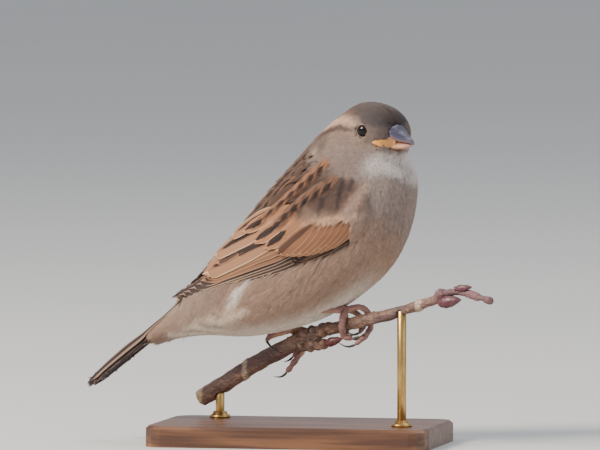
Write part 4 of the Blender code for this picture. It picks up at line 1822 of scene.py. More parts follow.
NO_LINE: tuple[Flat, Flat, Flat] = ((0.0, 0.0),) * 3
WING_ROWS: dict[str, Row] = {
    "primaries": Row(
        Form.REMEX, 6,
        ((16.0, 66.5), (10.0, 67.5), (4.0, 69.0)),
        ((-43.0, 48.5), (-37.4, 51.0), (-30.6, 54.8)),
        (4.6, 5.2), (-0.30, 0.32, 0.05, 0.09),
        linear(66, 54, 52), linear(150, 122, 100), linear(164, 136, 114), (0.90, 0.0, 0.004),
    ),
    "secondaries": Row(
        Form.REMEX, 6,
        ((9.0, 69.0), (4.0, 72.0), (0.0, 75.0)),
        ((-31.5, 54.4), (-28.5, 56.8), (-25.5, 60.0)),
        (5.4, 5.8), (0.10, 0.50, 0.05, 0.09),
        linear(78, 58, 48), linear(134, 96, 72), linear(176, 134, 102),
        (0.34, 0.28, 0.004), (-0.3, 1.3, 0.06),
    ),
    "tertials": Row(
        Form.TERTIAL, 3,
        ((6.0, 73.5), (2.0, 77.0), (-1.0, 80.5)),
        ((-30.4, 56.4), (-27.0, 62.0), (-20.8, 68.4)),
        (7.2, 7.8), (0.36, 0.78, 0.04, 0.12),
        DARK, linear(154, 112, 84), linear(208, 172, 142), (0.44, -0.20, 0.005), (0.0, 0.97, 0.14),
    ),
    "primary_coverts": Row(
        Form.REMEX, 5,
        ((20.0, 69.0), (17.5, 70.2), (15.0, 71.5)),
        ((1.0, 61.6), (3.5, 63.4), (6.8, 65.6)),
        (3.0, 3.4), (-0.02, 0.35, 0.03, 0.08),
        DARK, linear(140, 104, 84), linear(120, 92, 76), (0.86, 0.0, 0.02),
    ),
    "alula": Row(
        Form.REMEX, 3,
        ((26.0, 73.4), (25.2, 74.2), (24.4, 75.0)),
        ((14.0, 66.5), (15.2, 67.7), (16.4, 68.9)),
        (2.2, 2.4), (0.0, 0.25, 0.03, 0.06),
        DARK, linear(104, 78, 64), linear(110, 84, 70), (0.86, 0.0, 0.02),
    ),
    "greater_outer": Row(
        Form.TERTIAL, 8,
        ((25.2, 76.4), (18.8, 76.4), (11.5, 76.4)),
        ((12.6, 67.4), (5.0, 64.8), (-2.4, 64.2)),
        (5.0, 4.8), (0.05, 0.64, 0.07, 0.09),
        linear(80, 54, 42), linear(138, 94, 68), linear(184, 140, 108),
        (0.50, -0.28, 0.004), (-0.3, 1.3, 0.12),
    ),
    "greater_inner": Row(
        Form.COVERT, 4,
        ((9.5, 76.5), (5.0, 77.3), (0.5, 79.6)),
        ((-3.6, 65.2), (-9.5, 66.6), (-16.2, 70.3)),
        (5.2, 5.8), (0.30, 0.80, 0.05, 0.10),
        DARK, linear(154, 108, 78), linear(200, 154, 120), (0.54, 0.0, 0.008), (0.36, 1.0, 0.10),
    ),
    "outer_scapulars": Row(
        Form.STREAK, 6,
        ((18.0, 94.0), (9.0, 88.0), (3.0, 80.0)),
        ((11.5, 83.0), (2.5, 77.0), (-6.0, 70.5)),
        (4.6, 5.4), (-0.10, 1.30, 0.0, 0.10),
        DARK, linear(118, 86, 68), linear(148, 108, 84), (0.60, 0.0, 0.02), (0.45, 1.02, 0.14),
    ),
    "inner_scapulars": Row(
        Form.STREAK, 7,
        ((15.0, 99.0), (6.0, 91.0), (-3.0, 81.0)),
        ((8.5, 88.5), (-1.5, 80.0), (-13.0, 70.5)),
        (4.6, 5.6), (-0.10, 1.30, 0.0, 0.11),
        DARK, linear(142, 100, 74), linear(162, 118, 90), (0.60, 0.0, 0.02), (0.45, 1.02, 0.14),
    ),
}

VANES: tuple[VaneShape, ...] = (
    VaneShape(Form.COVERT, 0.45, 0.55, 0.70, 0.04, 14, 6),
    VaneShape(Form.REMEX, 0.35, 0.35, 0.86, -0.06, 34, 6, 0.0012),
    VaneShape(Form.TERTIAL, 0.35, 0.60, 0.88, -0.05, 24, 6, 0.003),
    VaneShape(Form.RECTRIX, 0.40, 0.60, 0.93, 0.03, 30, 6, 0.0004),
)
LOOSE = TuftShape(barbs=19, thin=0.04, thick=0.9, uneven=0.14, first=1.0)


class Quills:
    """The plan of a set of feathers: one root, tip, size, layer and set of colours for each."""

    def __init__(self, body: Body, side: Side) -> None:
        """Starts an empty plan.

        Args:
            body: whose hull the feathers lie on.
            side: the side they are on.
        """
        self.body, self.side = body, side
        self.rows: list[dict] = []

    def settle(self, x: float, z: float) -> Array:
        """Where an (x, z) place lies on the outside of the hull, in metres.

        Args:
            x: how far forward, in millimetres.
            z: how high, in millimetres.

        Returns:
            The place.
        """
        if self.side is Side.LEFT:
            share = eased(-15.0, -44.0, x)
            x, z = x + 4.0 * share, z - 2.2 * share
        sign = self.side.value
        hit = self.body.tree.ray_cast(Vector((x * MM, 0.06 * sign, z * MM)), Vector((0, -sign, 0)), 0.06)
        if hit[0] is not None and abs(hit[0].y) > 2.0 * MM:
            return np.array(hit[0])
        depth = np.interp(x, [-44, -25, 0, 20], [4.5, 12.0, 17.0, 18.5])
        near = self.body.tree.find_nearest(Vector((x * MM, depth * MM * sign, z * MM)))[0]
        return np.array((x * MM, near.y, z * MM))

    def add(
        self, root: Array, tip: Array, row: Row, number: int, width: float, facing: Array | None = None
    ) -> None:
        """Adds one feather between two places on the hull.

        Args:
            root: where it grows, in metres.
            tip: where it ends, in metres.
            row: the row it belongs to.
            number: its place in the row.
            width: its width in millimetres.
            facing: the way its upper side looks, or None for the hull's own.
        """
        chord = tip - root
        middle = Vector((root + tip) / 2)
        normal = np.array(self.body.tree.find_nearest(middle)[1]) if facing is None else facing
        lie = unit(chord)
        up = unit(normal - lie * (normal @ lie))
        higher = row.layer[3] * number
        layer = (row.layer[0] + 0.4 * higher, row.layer[1] + 0.6 * higher, row.layer[2])
        self.rows.append(
            {
                "place": root,
                "lie": lie,
                "up": up,
                "reach": (np.linalg.norm(chord), width * MM, row.thick * MM),
                "layer": np.array(layer) * MM,
                "form": row.form.value + (0 if self.side is Side.RIGHT else len(Form)),
            }
            | {key: getattr(row, key) for key in ("middle", "edge", "tip", "marks", "fade")}
        )

    def add_row(self, row: Row) -> None:
        """Adds a row's feathers, spaced evenly.

        Args:
            row: the row.
        """
        for i in range(row.count):
            t = i / max(row.count - 1, 1)
            root, tip = (self.settle(*Row.between(three, t)) for three in (row.roots, row.tips))
            self.add(root, tip, row, i, row.widths[0] + (row.widths[1] - row.widths[0]) * t)

    def build(
        self, name: str, loom: Loom, forms: bpy.types.Collection, finish: bpy.types.Material
    ) -> bpy.types.Object:
        """Lays the planned feathers and dresses them.

        Args:
            name: the piece's name.
            loom: the trees that lay feathers.
            forms: the collection of vane shapes, right ones first.
            finish: the material.

        Returns:
            The piece.
        """
        count = len(self.rows)
        obj = make_object(name, np.array([r["place"] for r in self.rows]), [])
        kinds = dict.fromkeys(("lie", "up", "reach", "layer", "marks", "fade"), "FLOAT_VECTOR")
        kinds |= dict.fromkeys(("middle", "edge", "tip"), "FLOAT_COLOR") | {"form": "INT"}
        for key, kind in kinds.items():
            carry(obj.data, key, np.array([r[key] for r in self.rows]), kind)
        carry(obj.data, "quill", np.arange(count), "INT")
        loom.run(obj, loom.lay, {"Hull": self.body.hull, "Vanes": forms, "Finish": finish})
        mesh = obj.data
        mesh.name = name
        along, across, quill = (carried(mesh, key, 1) for key in ("along", "across", "quill"))
        chance = np.random.default_rng(SEED + count).uniform(0, 1, count)[quill.astype(int)]
        carry(mesh, "vane", np.column_stack([along, across, chance]))
        self._map(mesh, along, across, quill)
        strip(mesh, SPARE + ("quill",))
        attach(obj, "root")
        log.info("%s: %d feathers", name, count)
        return obj

    def _map(self, mesh: bpy.types.Mesh, along: Array, across: Array, quill: Array) -> None:
        """Gives each face of each vane its own cell of the map named OFBake.

        Args:
            mesh: the laid feathers.
            along: each vertex's share of its vane's length.
            across: its place across the vane.
            quill: the number of its feather.
        """
        cells = math.ceil(math.sqrt(2 * len(self.rows)))
        layer = mesh.uv_layers.new(name=SKIN_MAP)
        normals = outward(mesh)
        under = np.zeros(len(mesh.loops), int)
        corner = np.empty(len(mesh.loops), int)
        mesh.loops.foreach_get("vertex_index", corner)
        facing = np.array([r["up"] for r in self.rows])[quill.astype(int)]
        lower = ((normals * facing).sum(axis=1) < 0).astype(int)
        for face in mesh.polygons:
            votes = [lower[v] for v in face.vertices]
            under[list(face.loop_indices)] = int(sum(votes) * 2 > len(votes))
        cell = quill[corner].astype(int) * 2 + under
        u = (cell % cells + 0.06 + 0.88 * along[corner]) / cells
        v = (cell // cells + 0.5 + 0.42 * across[corner]) / cells
        layer.uv.foreach_set("vector", np.column_stack([u, v]).ravel())


@dataclass
class FlightFeathers:
    """The feathers of the wings, shoulders, back and tail."""

    body: Body
    loom: Loom
    finish: bpy.types.Material
    back_rows: int = 4
    back_steps: int = 10
    tail_pairs: int = 6

    def __post_init__(self) -> None:
        """Makes the vane shapes."""
        shapes = []
        for mirrored in (False, True):
            for i, shape in enumerate((*VANES, LOOSE)):
                obj = shape.build(f"vane_{len(shapes):02d}", SEED + i)
                if mirrored:
                    obj.data.transform(Matrix.Scale(-1, 4, Vector((0, 1, 0))))
                    obj.data.flip_normals()
                shapes.append(obj)
        self.forms = kept_forms("vanes", shapes)

    def wing(self, side: Side) -> None:
        """Builds one wing with its coverts and scapulars.

        Args:
            side: the side of the bird.
        """
        quills = Quills(self.body, side)
        for row in WING_ROWS.values():
            quills.add_row(row)
        obj = quills.build(f"wing_feathers_{side.word}", self.loom, self.forms, self.finish)

    def back_place(self, along: float, turn: float, side: Side) -> Array:
        """A place on the back, in metres, by its share of the way to the tail and its turn from the ridge.

        Args:
            along: the share of the way from neck to tail.
            turn: the turn from the ridge, in radians.
            side: the side of the bird.

        Returns:
            The place.
        """
        belts = np.array(self.body.plumage.belts)
        row = [np.interp(along, np.linspace(0, 1, len(belts)), c) for c in belts.T]
        top, bottom = np.array((row[0], 0.0, row[1])), np.array((row[2], 0.0, row[3]))
        up = unit(top - bottom)
        centre = top - up * 12.0
        way = math.cos(turn) * up + math.sin(turn) * np.array((0.0, side.value, 0.0))
        hit = self.body.tree.ray_cast(Vector((centre + way * 30) * MM), Vector(-way), 0.05)
        return np.array(hit[0]) if hit[0] is not None else (centre + way * 12) * MM

    def back(self, side: Side) -> None:
        """Builds one half of the streaked back.

        Args:
            side: the side of the bird.
        """
        grey, brown = linear(108, 86, 74), linear(118, 88, 70)
        styles = (
            (linear(66, 52, 46), grey, grey, (0.50, 0.0, 0.05)),
            (linear(120, 86, 66), linear(182, 130, 92), PALE_BUFF, (0.14, 0.5, 0.06)),
            (DARK, brown, linear(168, 132, 108), (0.50, 0.0, 0.05)),
            (DARK, linear(140, 102, 78), linear(176, 132, 104), (0.46, 0.0, 0.05)),
        )
        layer, fade = (-0.45, 0.9, 0.0, 0.16), (0.25, 1.02, 0.12)
        quills = Quills(self.body, side)
        for line in range(self.back_rows):
            row = Row(Form.STREAK, 1, NO_LINE, NO_LINE, (5, 5), layer, *styles[line], fade)
            turn = math.radians(7 + 16 * line)
            for step in range(self.back_steps):
                along = 0.06 + 0.060 * (step + 0.5 * (line % 2))
                if line == 0 and side is Side.LEFT and step % 2:
                    continue
                shorter = 0.75 + 0.25 * min(1.0, step / 3)
                root = self.back_place(along, turn * (0.9 + 0.1 * math.cos(step * 2.1)), side)
                end_turn = turn * (0.98 + 0.06 * math.sin(step * 1.7))
                end = self.back_place(along + 0.125 * shorter, end_turn, side)
                quills.add(root, end, row, min(step, 4), 3.8 + 0.9 * shorter)
        obj = quills.build(f"back_feathers_{side.word}", self.loom, self.forms, self.finish)

    def tail(self, side: Side) -> None:
        """Builds one half of the tail, the middle feather on top.

        Args:
            side: the side of the bird.
        """
        sign = -side.value
        quills = Quills(self.body, side)
        root, end = np.array(TAIL_ROOT), np.array(TAIL_END)
        across_root, across_end = unit(np.array((0.5, -3.0, -3.4))), unit(np.array((4.4, -6.4, -0.6)))
        edge, band, dark = linear(118, 96, 82), linear(132, 104, 84), linear(40, 34, 38)
        for i in range(self.tail_pairs - 1, -1, -1):
            t = i / (self.tail_pairs - 1)
            marks = (0.90, 0.0, 0.004) if i else (0.38, 0.16, 0.004)
            row = Row(
                Form.RECTRIX, 1, NO_LINE, NO_LINE, (5, 5), (0.20 - 0.09 * i, 0.30, 0, 0),
                dark, edge if i else band, linear(146, 122, 106), marks,
            )
            start = root + across_root * (1.4 + 1.6 * t)
            stop = end + across_end * (2.2 + 1.7 * t) + np.array((-0.8, 0.0, -0.7)) * t
            facing = unit(np.cross(across_root + across_end, end - root))
            facing = facing * math.copysign(1.0, facing[2]) * np.array((1.0, sign, 1.0))
            ends = []
            for place in (start, stop):
                place = place * np.array((1.0, sign, 1.0)) * MM
                hit = self.body.tree.ray_cast(Vector(place + facing * 4 * MM), Vector(-facing), 0.012)
                ends.append(place if hit[0] is None else np.array(hit[0]))
            quills.add(ends[0], ends[1], row, 0, 4.0 if i else 5.2, facing)
        obj = quills.build(f"tail_feathers_{side.word}", self.loom, self.forms, self.finish)

    def build(self) -> None:
        """Builds every flight feather."""
        for side in Side:
            self.wing(side)
            self.back(side)
            self.tail(side)
        clear_forms(self.forms)


def lathed(
    name: str, profile: list[Flat], centre: Array, axis: Array, segments: int, wave: float = 0.0
) -> bpy.types.Object:
    """A closed ring or a closed solid turned about an axis.

    Args:
        name: the object's name.
        profile: (distance from the axis, height along it) places in millimetres, in order.
        centre: where height is zero, in millimetres.
        axis: the axis's direction.
        segments: how many steps there are round the axis.
        wave: how far the surface is beaded, in millimetres.

    Returns:
        The object. A profile that ends on the axis at both ends makes a solid, any other one a ring.
    """
    axis = unit(np.array(axis, float))
    first = unit(np.cross(axis, (0.3, 0.2, 0.9)))
    second = np.cross(axis, first)
    solid = profile[0][0] == 0 and profile[-1][0] == 0
    inner = profile[1:-1] if solid else profile
    points = []
    for k in range(segments):
        angle = 2 * math.pi * k / segments
        way = math.cos(angle) * first + math.sin(angle) * second
        bead = wave * math.cos(angle * segments / 4)
        points += [centre + way * (r + bead) + axis * h for r, h in inner]
    count = len(inner)
    faces = []
    steps = count - 1 if solid else count
    for k in range(segments):
        for i in range(steps):
            j, n = (i + 1) % count, (k + 1) % segments
            faces.append((k * count + i, n * count + i, n * count + j, k * count + j))
    if solid:
        low, high = len(points), len(points) + 1
        points += [centre + axis * profile[0][1], centre + axis * profile[-1][1]]
        for k in range(segments):
            n = (k + 1) % segments
            faces.append((low, n * count, k * count))
            faces.append((high, k * count + count - 1, n * count + count - 1))
    return closed(make_object(name, np.array(points) * MM, faces))


@dataclass
class Eyes:
    """The two eyes with their lids."""

    eye_finish: bpy.types.Material
    lid_finish: bpy.types.Material
    lid_rows: tuple[Flat, ...] = (
        (1.97, 1.96), (2.01, 2.09), (2.10, 2.13), (2.22, 2.02), (2.36, 1.76), (2.48, 1.3), (2.0, 1.2),
    )

    def build(self) -> None:
        """Builds an eye and a lid ring on each side."""
        for side in Side:
            centre, axis = eye_axis(side)
            steps = np.linspace(math.pi, 0, 49)
            bulge = [1 + 0.035 * eased(0.75, 0.0, a) for a in steps]
            radii = [EYE_RADIUS * b for b in bulge]
            ball = [(r * math.sin(a), r * math.cos(a)) for a, r in zip(steps, radii)]
            ball[0], ball[-1] = (0, ball[0][1]), (0, ball[-1][1])
            eye = lathed(f"eyeball_{side.word}", ball, centre, axis, 64)
            rel = places(eye.data) / MM - centre
            out = np.arccos(np.clip(unit(rel) @ axis, -1, 1)) / (math.pi / 2)
            carry(eye.data, "out", out, "FLOAT")
            eye.data.materials.append(self.eye_finish)
            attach(eye, "root")
            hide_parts(f"eye_{side.word}")
            lid = lathed(f"eyelid_{side.word}", list(self.lid_rows), centre, axis, 96, 0.025)
            points = places(lid.data) / MM
            low = ease(0.5, -1.5, (points - centre) @ head_pose()[:, 2])
            tint = painted(linear(126, 110, 100), len(points), [(linear(150, 134, 122), low)])
            dye(lid, tint, self.lid_finish)
            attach(lid, "root")
        log.info("eyes: 2 balls, 2 lids")


@dataclass
class Bill:
    """The bill's two halves, rounded and tinted, with nostrils and the yellow corner of the gape."""

    finish: bpy.types.Material
    body: Body
    voxel: float = 0.2 * MM
    sag: float = 0.75 * MM
    shut: float = 0.5 * MM
    nostril: tuple[float, float, float] = (11.4, 1.9, 2.0)
    gape_high: Flat = (2.3, 0.3)
    gape_deep: tuple[float, float, float] = (0.40, 0.55, 0.42)

    def build(self) -> None:
        """Builds both halves."""
        for half in HALVES:
            obj, _, points = rounded(f"bill_{half}", f"beak_{half}", self.voxel, 6)
            mesh = obj.data
            move_to(mesh, points + outward(mesh) * 0.06 * MM)
            points = places(mesh)
            own = to_head(points / MM)
            if half == "upper":
                sag = ease(10.6, 13.0, own[:, 0]) * ease(17.8, 15.5, own[:, 0]) * ease(-1.6, 1.2, own[:, 2])
                points = points - head_pose()[:, 2] * (sag * self.sag)[:, None]
                points = self._pierced(points, outward(mesh), own)
                move_to(mesh, points)
            else:
                shut = ease(-2.6, -1.7, own[:, 2]) * ease(17.6, 16.0, own[:, 0])
                move_to(mesh, points + head_pose()[:, 2] * (shut * self.shut)[:, None])
            dye(obj, self._tint(half, own), self.finish)
            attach(obj, "root")
            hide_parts(f"bill_{half}")
            log.info("%s: %d faces", obj.name, len(mesh.polygons))
        halves = [tree_of(bpy.data.objects[f"beak_{half}"]) for half in HALVES]
        for side in Side:
            self._gape(side, halves)

    def _gape(self, side: Side, halves: list[BVHTree]) -> None:
        """Builds the soft yellow skin at one corner of the mouth, with its crease.

        Args:
            side: the side of the bird.
            halves: the search trees of the bill's halves.
        """
        line = []
        for x, z in GAPE_LINE:
            out = head_pose() @ np.array((0.0, side.value, 0.0))
            wide = 0.0
            for tree in (self.body.tree, *halves):
                for lower in (0.9, 0.4, 0.0, -0.4, -0.9):
                    start = Vector((from_head((x, 0, z + lower)) + out * 12) * MM)
                    hit = tree.ray_cast(start, Vector(-out), 0.012)
                    if hit[0] is not None:
                        wide = max(wide, abs(float(to_head(np.array(hit[0])[None] / MM)[0, 1])))
            sunk = 0.1 + 0.7 * eased(10.6, 12.1, x)
            line.append(np.array((x, (wide - sunk) * side.value, z)))
        line = np.array(line)
        log.info("gape %s: %s", side.word, np.round(line[:, 1], 2).tolist())
        turns = np.linspace(0, 2 * math.pi, 25)[:-1]
        points, faces = [], []
        rings = 17
        for i in range(rings):
            t = i / (rings - 1)
            place = np.array([np.interp(t, np.linspace(0, 1, len(line)), line[:, k]) for k in range(3)])
            end = math.sqrt(max(1 - (2 * t - 1) ** 6, 0.0))
            high = (self.gape_high[0] + (self.gape_high[1] - self.gape_high[0]) * t) * end + 0.01
            deep = float(np.interp(t, (0.0, 0.45, 1.0), self.gape_deep)) * end + 0.01
            for turn in turns:
                crease = 1 - 0.55 * math.exp(-((math.sin(turn) / 0.22) ** 2)) * (math.cos(turn) > 0)
                out = deep * math.cos(turn) * crease
                points.append(place + np.array((0.0, out * side.value, high * math.sin(turn))))
        count = len(turns)
        for i in range(rings - 1):
            for k in range(count):
                n = (k + 1) % count
                faces.append((i * count + k, i * count + n, (i + 1) * count + n, (i + 1) * count + k))
        faces += [list(range(count)), [(rings - 1) * count + k for k in range(count)]]
        own = np.array(points)
        where = (np.array(HEAD_CENTRE) + own @ head_pose().T) * MM
        obj = closed(make_object(f"gape_{side.word}", where, faces))
        front = ease(10.0, 11.8, own[:, 0]) * 0.8
        dye(obj, painted(linear(232, 160, 52), len(own), [(linear(214, 146, 102), front)]), self.finish)
        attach(obj, "root")

    def _pierced(self, points: Array, normals: Array, own: Array) -> Array:
        """The upper half's places with a nostril sunk into each side.

        Args:
            points: the half's vertices in metres.
            normals: the way each faces.
            own: the vertices in the head's frame, in millimetres.

        Returns:
            The moved vertices.
        """
        for sign in (1, -1):
            rel = own - np.array((self.nostril[0], self.nostril[1] * sign, self.nostril[2]))
            off = np.sqrt((rel[:, 0] / 0.75) ** 2 + (rel[:, 1] / 2.0) ** 2 + (rel[:, 2] / 0.42) ** 2)
            points = points - normals * (ease(1.0, 0.2, off) * 0.45 * MM)[:, None]
        return points

    @staticmethod
    def _tint(half: str, own: Array) -> Array:
        """The horn's colour by its place in the head's frame.

        Args:
            half: upper or lower.
            own: places in the head's frame, in millimetres.

        Returns:
            One colour per place.
        """
        x, z = own[:, 0], own[:, 2]
        if half == "upper":
            layers = [
                (linear(42, 48, 76), ease(0.2, 1.7, z + 0.35 * (x - 11.0)) * 0.95),
                (linear(82, 80, 96), ease(14.8, 17.2, x) * 0.75),
                (linear(228, 192, 148), ease(-0.4, -1.6, z) * ease(14.5, 10.6, x) * 0.9),
            ]
            return painted(linear(132, 108, 114), len(own), layers)
        layers = [
            (linear(228, 164, 88), ease(13.2, 11.0, x) * 0.9),
            (linear(156, 128, 124), ease(14.6, 16.6, x) * 0.7),
        ]
        return painted(linear(206, 146, 116), len(own), layers)


@dataclass
class Feet:
    """Legs and toes with their scutes, and the claws."""

    leg_finish: bpy.types.Material
    claw_finish: bpy.types.Material
    voxel: float = 0.17 * MM
    claw_voxel: float = 0.11 * MM
    scute: float = 1.05
    groove: float = 0.14 * MM
    joint: float = 3.1
    bulge: float = 0.13 * MM
    twig_start: Flat = (19.7, 14.0)
    twig_way: Flat = (-38.4, 41.0)

    def build(self) -> None:
        """Builds both legs and the eight claws."""
        for side in Side:
            toes = tree_of(self._leg(side))
            for toe in ("hind", "inner", "middle", "outer"):
                self._claw(f"claw_{side.word}_{toe}", toes)
        log.info("feet: 2 legs, 8 claws")

    def _leg(self, side: Side) -> bpy.types.Object:
        """Builds one leg with its toes.

        Args:
            side: the side of the bird.

        Returns:
            The leg.
        """
        obj, net, points = rounded(f"leg_{side.word}", f"foot_{side.word}", self.voxel, 6)
        normals = outward(obj.data)
        points = points + normals * 0.07 * MM
        top = np.nonzero(points[:, 2] > points[:, 2].max() - 0.5 * MM)[0]
        far = net.smoothed(net.walked(points, top), 6) / MM
        twig = np.array(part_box("perch_twig")) / MM
        share = (points[:, 0] / MM - twig[0][0]) / (twig[1][0] - twig[0][0])
        (y, z), (way_y, way_z) = self.twig_start, self.twig_way
        line = np.column_stack([points[:, 0] / MM, y + way_y * share, z + way_z * share]) * MM
        away = (normals * unit(points - line)).sum(axis=1)
        front = ease(-0.1, 0.5, away)
        knuckle = np.cos(far * 2 * math.pi / self.joint) * ease(-0.35, 0.25, self._toe_share(points))
        points = points + normals * (knuckle * self.bulge)[:, None]
        cycle = np.abs(((far / self.scute) % 1.0) - 0.5) * 2
        dip = ease(0.72, 1.0, cycle) * front
        pads = np.sin(far * 2 * math.pi / 0.8) * 0.35 * ease(0.2, -0.5, away)
        points = points - normals * ((dip - pads * 0.6) * self.groove)[:, None]
        move_to(obj.data, points)
        layers = [
            (linear(128, 88, 92), front * (1 - dip) * 0.75),
            (linear(92, 60, 62), dip),
            (linear(222, 176, 118), ease(0.0, -0.6, away) * 0.7),
        ]
        dye(obj, painted(linear(196, 148, 124), len(points), layers), self.leg_finish)
        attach(obj, "root")
        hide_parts(f"leg_{side.word}")
        return obj

    @staticmethod
    def _toe_share(points: Array) -> Array:
        """Above 0 on the toes and below 0 on the upright shank, by height."""
        low, high = points[:, 2].min(), points[:, 2].max()
        return 0.55 - (points[:, 2] - low) / (high - low)

    def _claw(self, node: str, toes: BVHTree) -> None:
        """Builds one claw, its base drawn onto the toe.

        Args:
            node: the claw's node.
            toes: the search tree of the built foot.
        """
        obj, _, points = rounded(node, node.replace("claw", "talon"), self.claw_voxel, 4)
        points = points + outward(obj.data) * 0.04 * MM
        for i in range(len(points)):
            near, normal, _, gap = toes.find_nearest(Vector(points[i]))
            if gap < 0.9 * MM:
                share = eased(0.9 * MM, 0.3 * MM, gap)
                points[i] += (np.array(near - normal * 0.12 * MM) - points[i]) * share
        move_to(obj.data, points)
        gaps = np.array([toes.find_nearest(Vector(p))[3] for p in points]) / MM
        base = ease(0.0, 1.3, gaps)
        dye(obj, painted(linear(104, 82, 76), len(points), [(linear(40, 33, 34), base)]), self.claw_finish)
        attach(obj, "root")
        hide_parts(node)


@dataclass
class Perch:
    """The cut twig with its bark, scars and buds."""

    bark_finish: bpy.types.Material
    bud_finish: bpy.types.Material
    voxel: float = 0.36 * MM
    bud_voxel: float = 0.16 * MM
    long_way: tuple[float, float, float] = (91.0, -38.0, 38.0)

    def build(self) -> None:
        """Builds the twig and its three buds."""
        self._twig()
        for which in ("lower", "side", "upper"):
            self._bud(which)
        log.info("perch: twig and 3 buds")

    def _twig(self) -> None:
        """Builds the twig: wrinkled bark, raised pores, swollen nodes and a clean cut."""
        obj, _, points = rounded("perch_twig", "twig_bark", self.voxel, 4)
        flat = points / MM
        long_way = unit(np.array(self.long_way))
        stretched = flat - (flat @ long_way)[:, None] * long_way * 0.72
        cut_end = ease(-36.8, -37.6, flat[:, 0])
        folds = ripple(stretched, 2.6, 11) * 0.16 + ripple(flat, 6.0, 12) * 0.16
        pores = ease(0.9, 1.35, ripple(flat, 2.2, 13)) * 0.25
        torn = ease(8.5, 4.0, np.abs(flat[:, 0] - 4.0))
        knot = torn * (0.35 + ripple(flat, 3.4, 14) * 0.55)
        scar = ease(1.5, 0.9, np.abs(flat[:, 0] - 43.5)) + ease(1.2, 0.7, np.abs(flat[:, 0] + 21.0))
        tip_node = ease(6.0, 2.0, np.abs(flat[:, 0] - 51.5)) * (ripple(flat, 2.6, 15) * 0.22)
        move = (folds + pores + knot + tip_node + scar * 0.25) * (1 - cut_end)
        move_to(obj.data, points + outward(obj.data) * (move * MM)[:, None])
        layers = [
            (linear(100, 82, 84), ease(-0.1, 0.8, ripple(stretched, 8.0, 16)) * 0.75),
            (linear(196, 158, 126), ease(0.05, 0.2, pores) * 0.8),
            (linear(188, 142, 110), ease(0.4, 1.0, ripple(stretched, 4.0, 17)) * 0.7),
            (linear(206, 164, 130), torn * ease(0.1, 0.9, ripple(flat, 2.4, 18)) * 0.85),
            (linear(58, 42, 42), torn * ease(0.3, 1.0, ripple(flat, 2.9, 19)) * 0.8),
            (linear(224, 202, 176), scar * 0.65),
            (linear(132, 90, 104), ease(46, 52, flat[:, 0]) * 0.6),
            (linear(206, 176, 136), cut_end),
        ]
        dye(obj, painted(linear(142, 112, 98), len(points), layers), self.bark_finish)
        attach(obj, "root")
        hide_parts("perch_twig")

    def _bud(self, which: str) -> None:
        """Builds one bud with overlapping scales.

        Args:
            which: lower, side or upper.
        """
        node = f"perch_bud_{which}"
        obj, _, points = rounded(node, f"bud_{which}", self.bud_voxel, 4)
        low, high = points.min(axis=0), points.max(axis=0)
        share = (points[:, 0] - low[0]) / (high[0] - low[0])
        turn = np.arctan2(points[:, 2] - points[:, 2].mean(), points[:, 1] - points[:, 1].mean())
        scale = (share * 3.2 + 0.25 * np.sin(turn * 2)) % 1.0
        rise = 0.22 * (1 - scale) * ease(1.0, 0.85, share)
        move_to(obj.data, points + outward(obj.data) * (rise * MM)[:, None])
        layers = [
            (linear(58, 26, 34), ease(0.5, 1.0, scale) * 0.8),
            (linear(158, 96, 84), ease(0.16, 0.0, scale) * 0.7),
        ]
        tint = painted(linear(112, 44, 46), len(points), layers)
        if which != "lower":
            tint = tint * 0.5 + np.array(linear(104, 66, 84)) * 0.5
        dye(obj, tint, self.bud_finish)
        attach(obj, "root")
        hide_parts(node)


@dataclass
class Stand:
    """The display stand: a waxed wooden base and two brass rods with collars."""

    wood: bpy.types.Material
    brass: bpy.types.Material
    rod_radius: float = 1.5
    bevel: float = 0.15
    collar: tuple[Flat, ...] = (
        (1.52, -0.2), (3.4, -0.2), (3.5, 0.5), (3.1, 0.9), (2.5, 1.1), (2.3, 1.9), (1.52, 2.1),
    )

    def build(self) -> None:
        """Dresses the base and turns the rods and their collars."""
        base = frame["nodes"]["stand_base"]
        base.data.materials.clear()
        base.data.materials.append(self.wood)
        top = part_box("stand_base")[1][2] / MM
        for which in ("front", "rear"):
            node = f"stand_rod_{which}"
            low, high = (np.array(c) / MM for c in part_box(node))
            centre = np.array(((low[0] + high[0]) / 2, (low[1] + high[1]) / 2, 0.0))
            r, less = self.rod_radius, self.bevel
            profile = [(0, low[2]), (r - less, low[2]), (r, low[2] + less)]
            profile += [(r, high[2] - less), (r - less, high[2]), (0, high[2])]
            rod = lathed(f"rod_{which}", profile, centre, np.array((0, 0, 1.0)), 48)
            foot = centre + np.array((0, 0, top + 0.2))
            ring = lathed(f"collar_{which}", list(self.collar), foot, np.array((0, 0, 1.0)), 64)
            for obj in (rod, ring):
                obj.data.materials.append(self.brass)
                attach(obj, "root")
            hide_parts(node)
        log.info("stand: base, 2 rods, 2 collars")


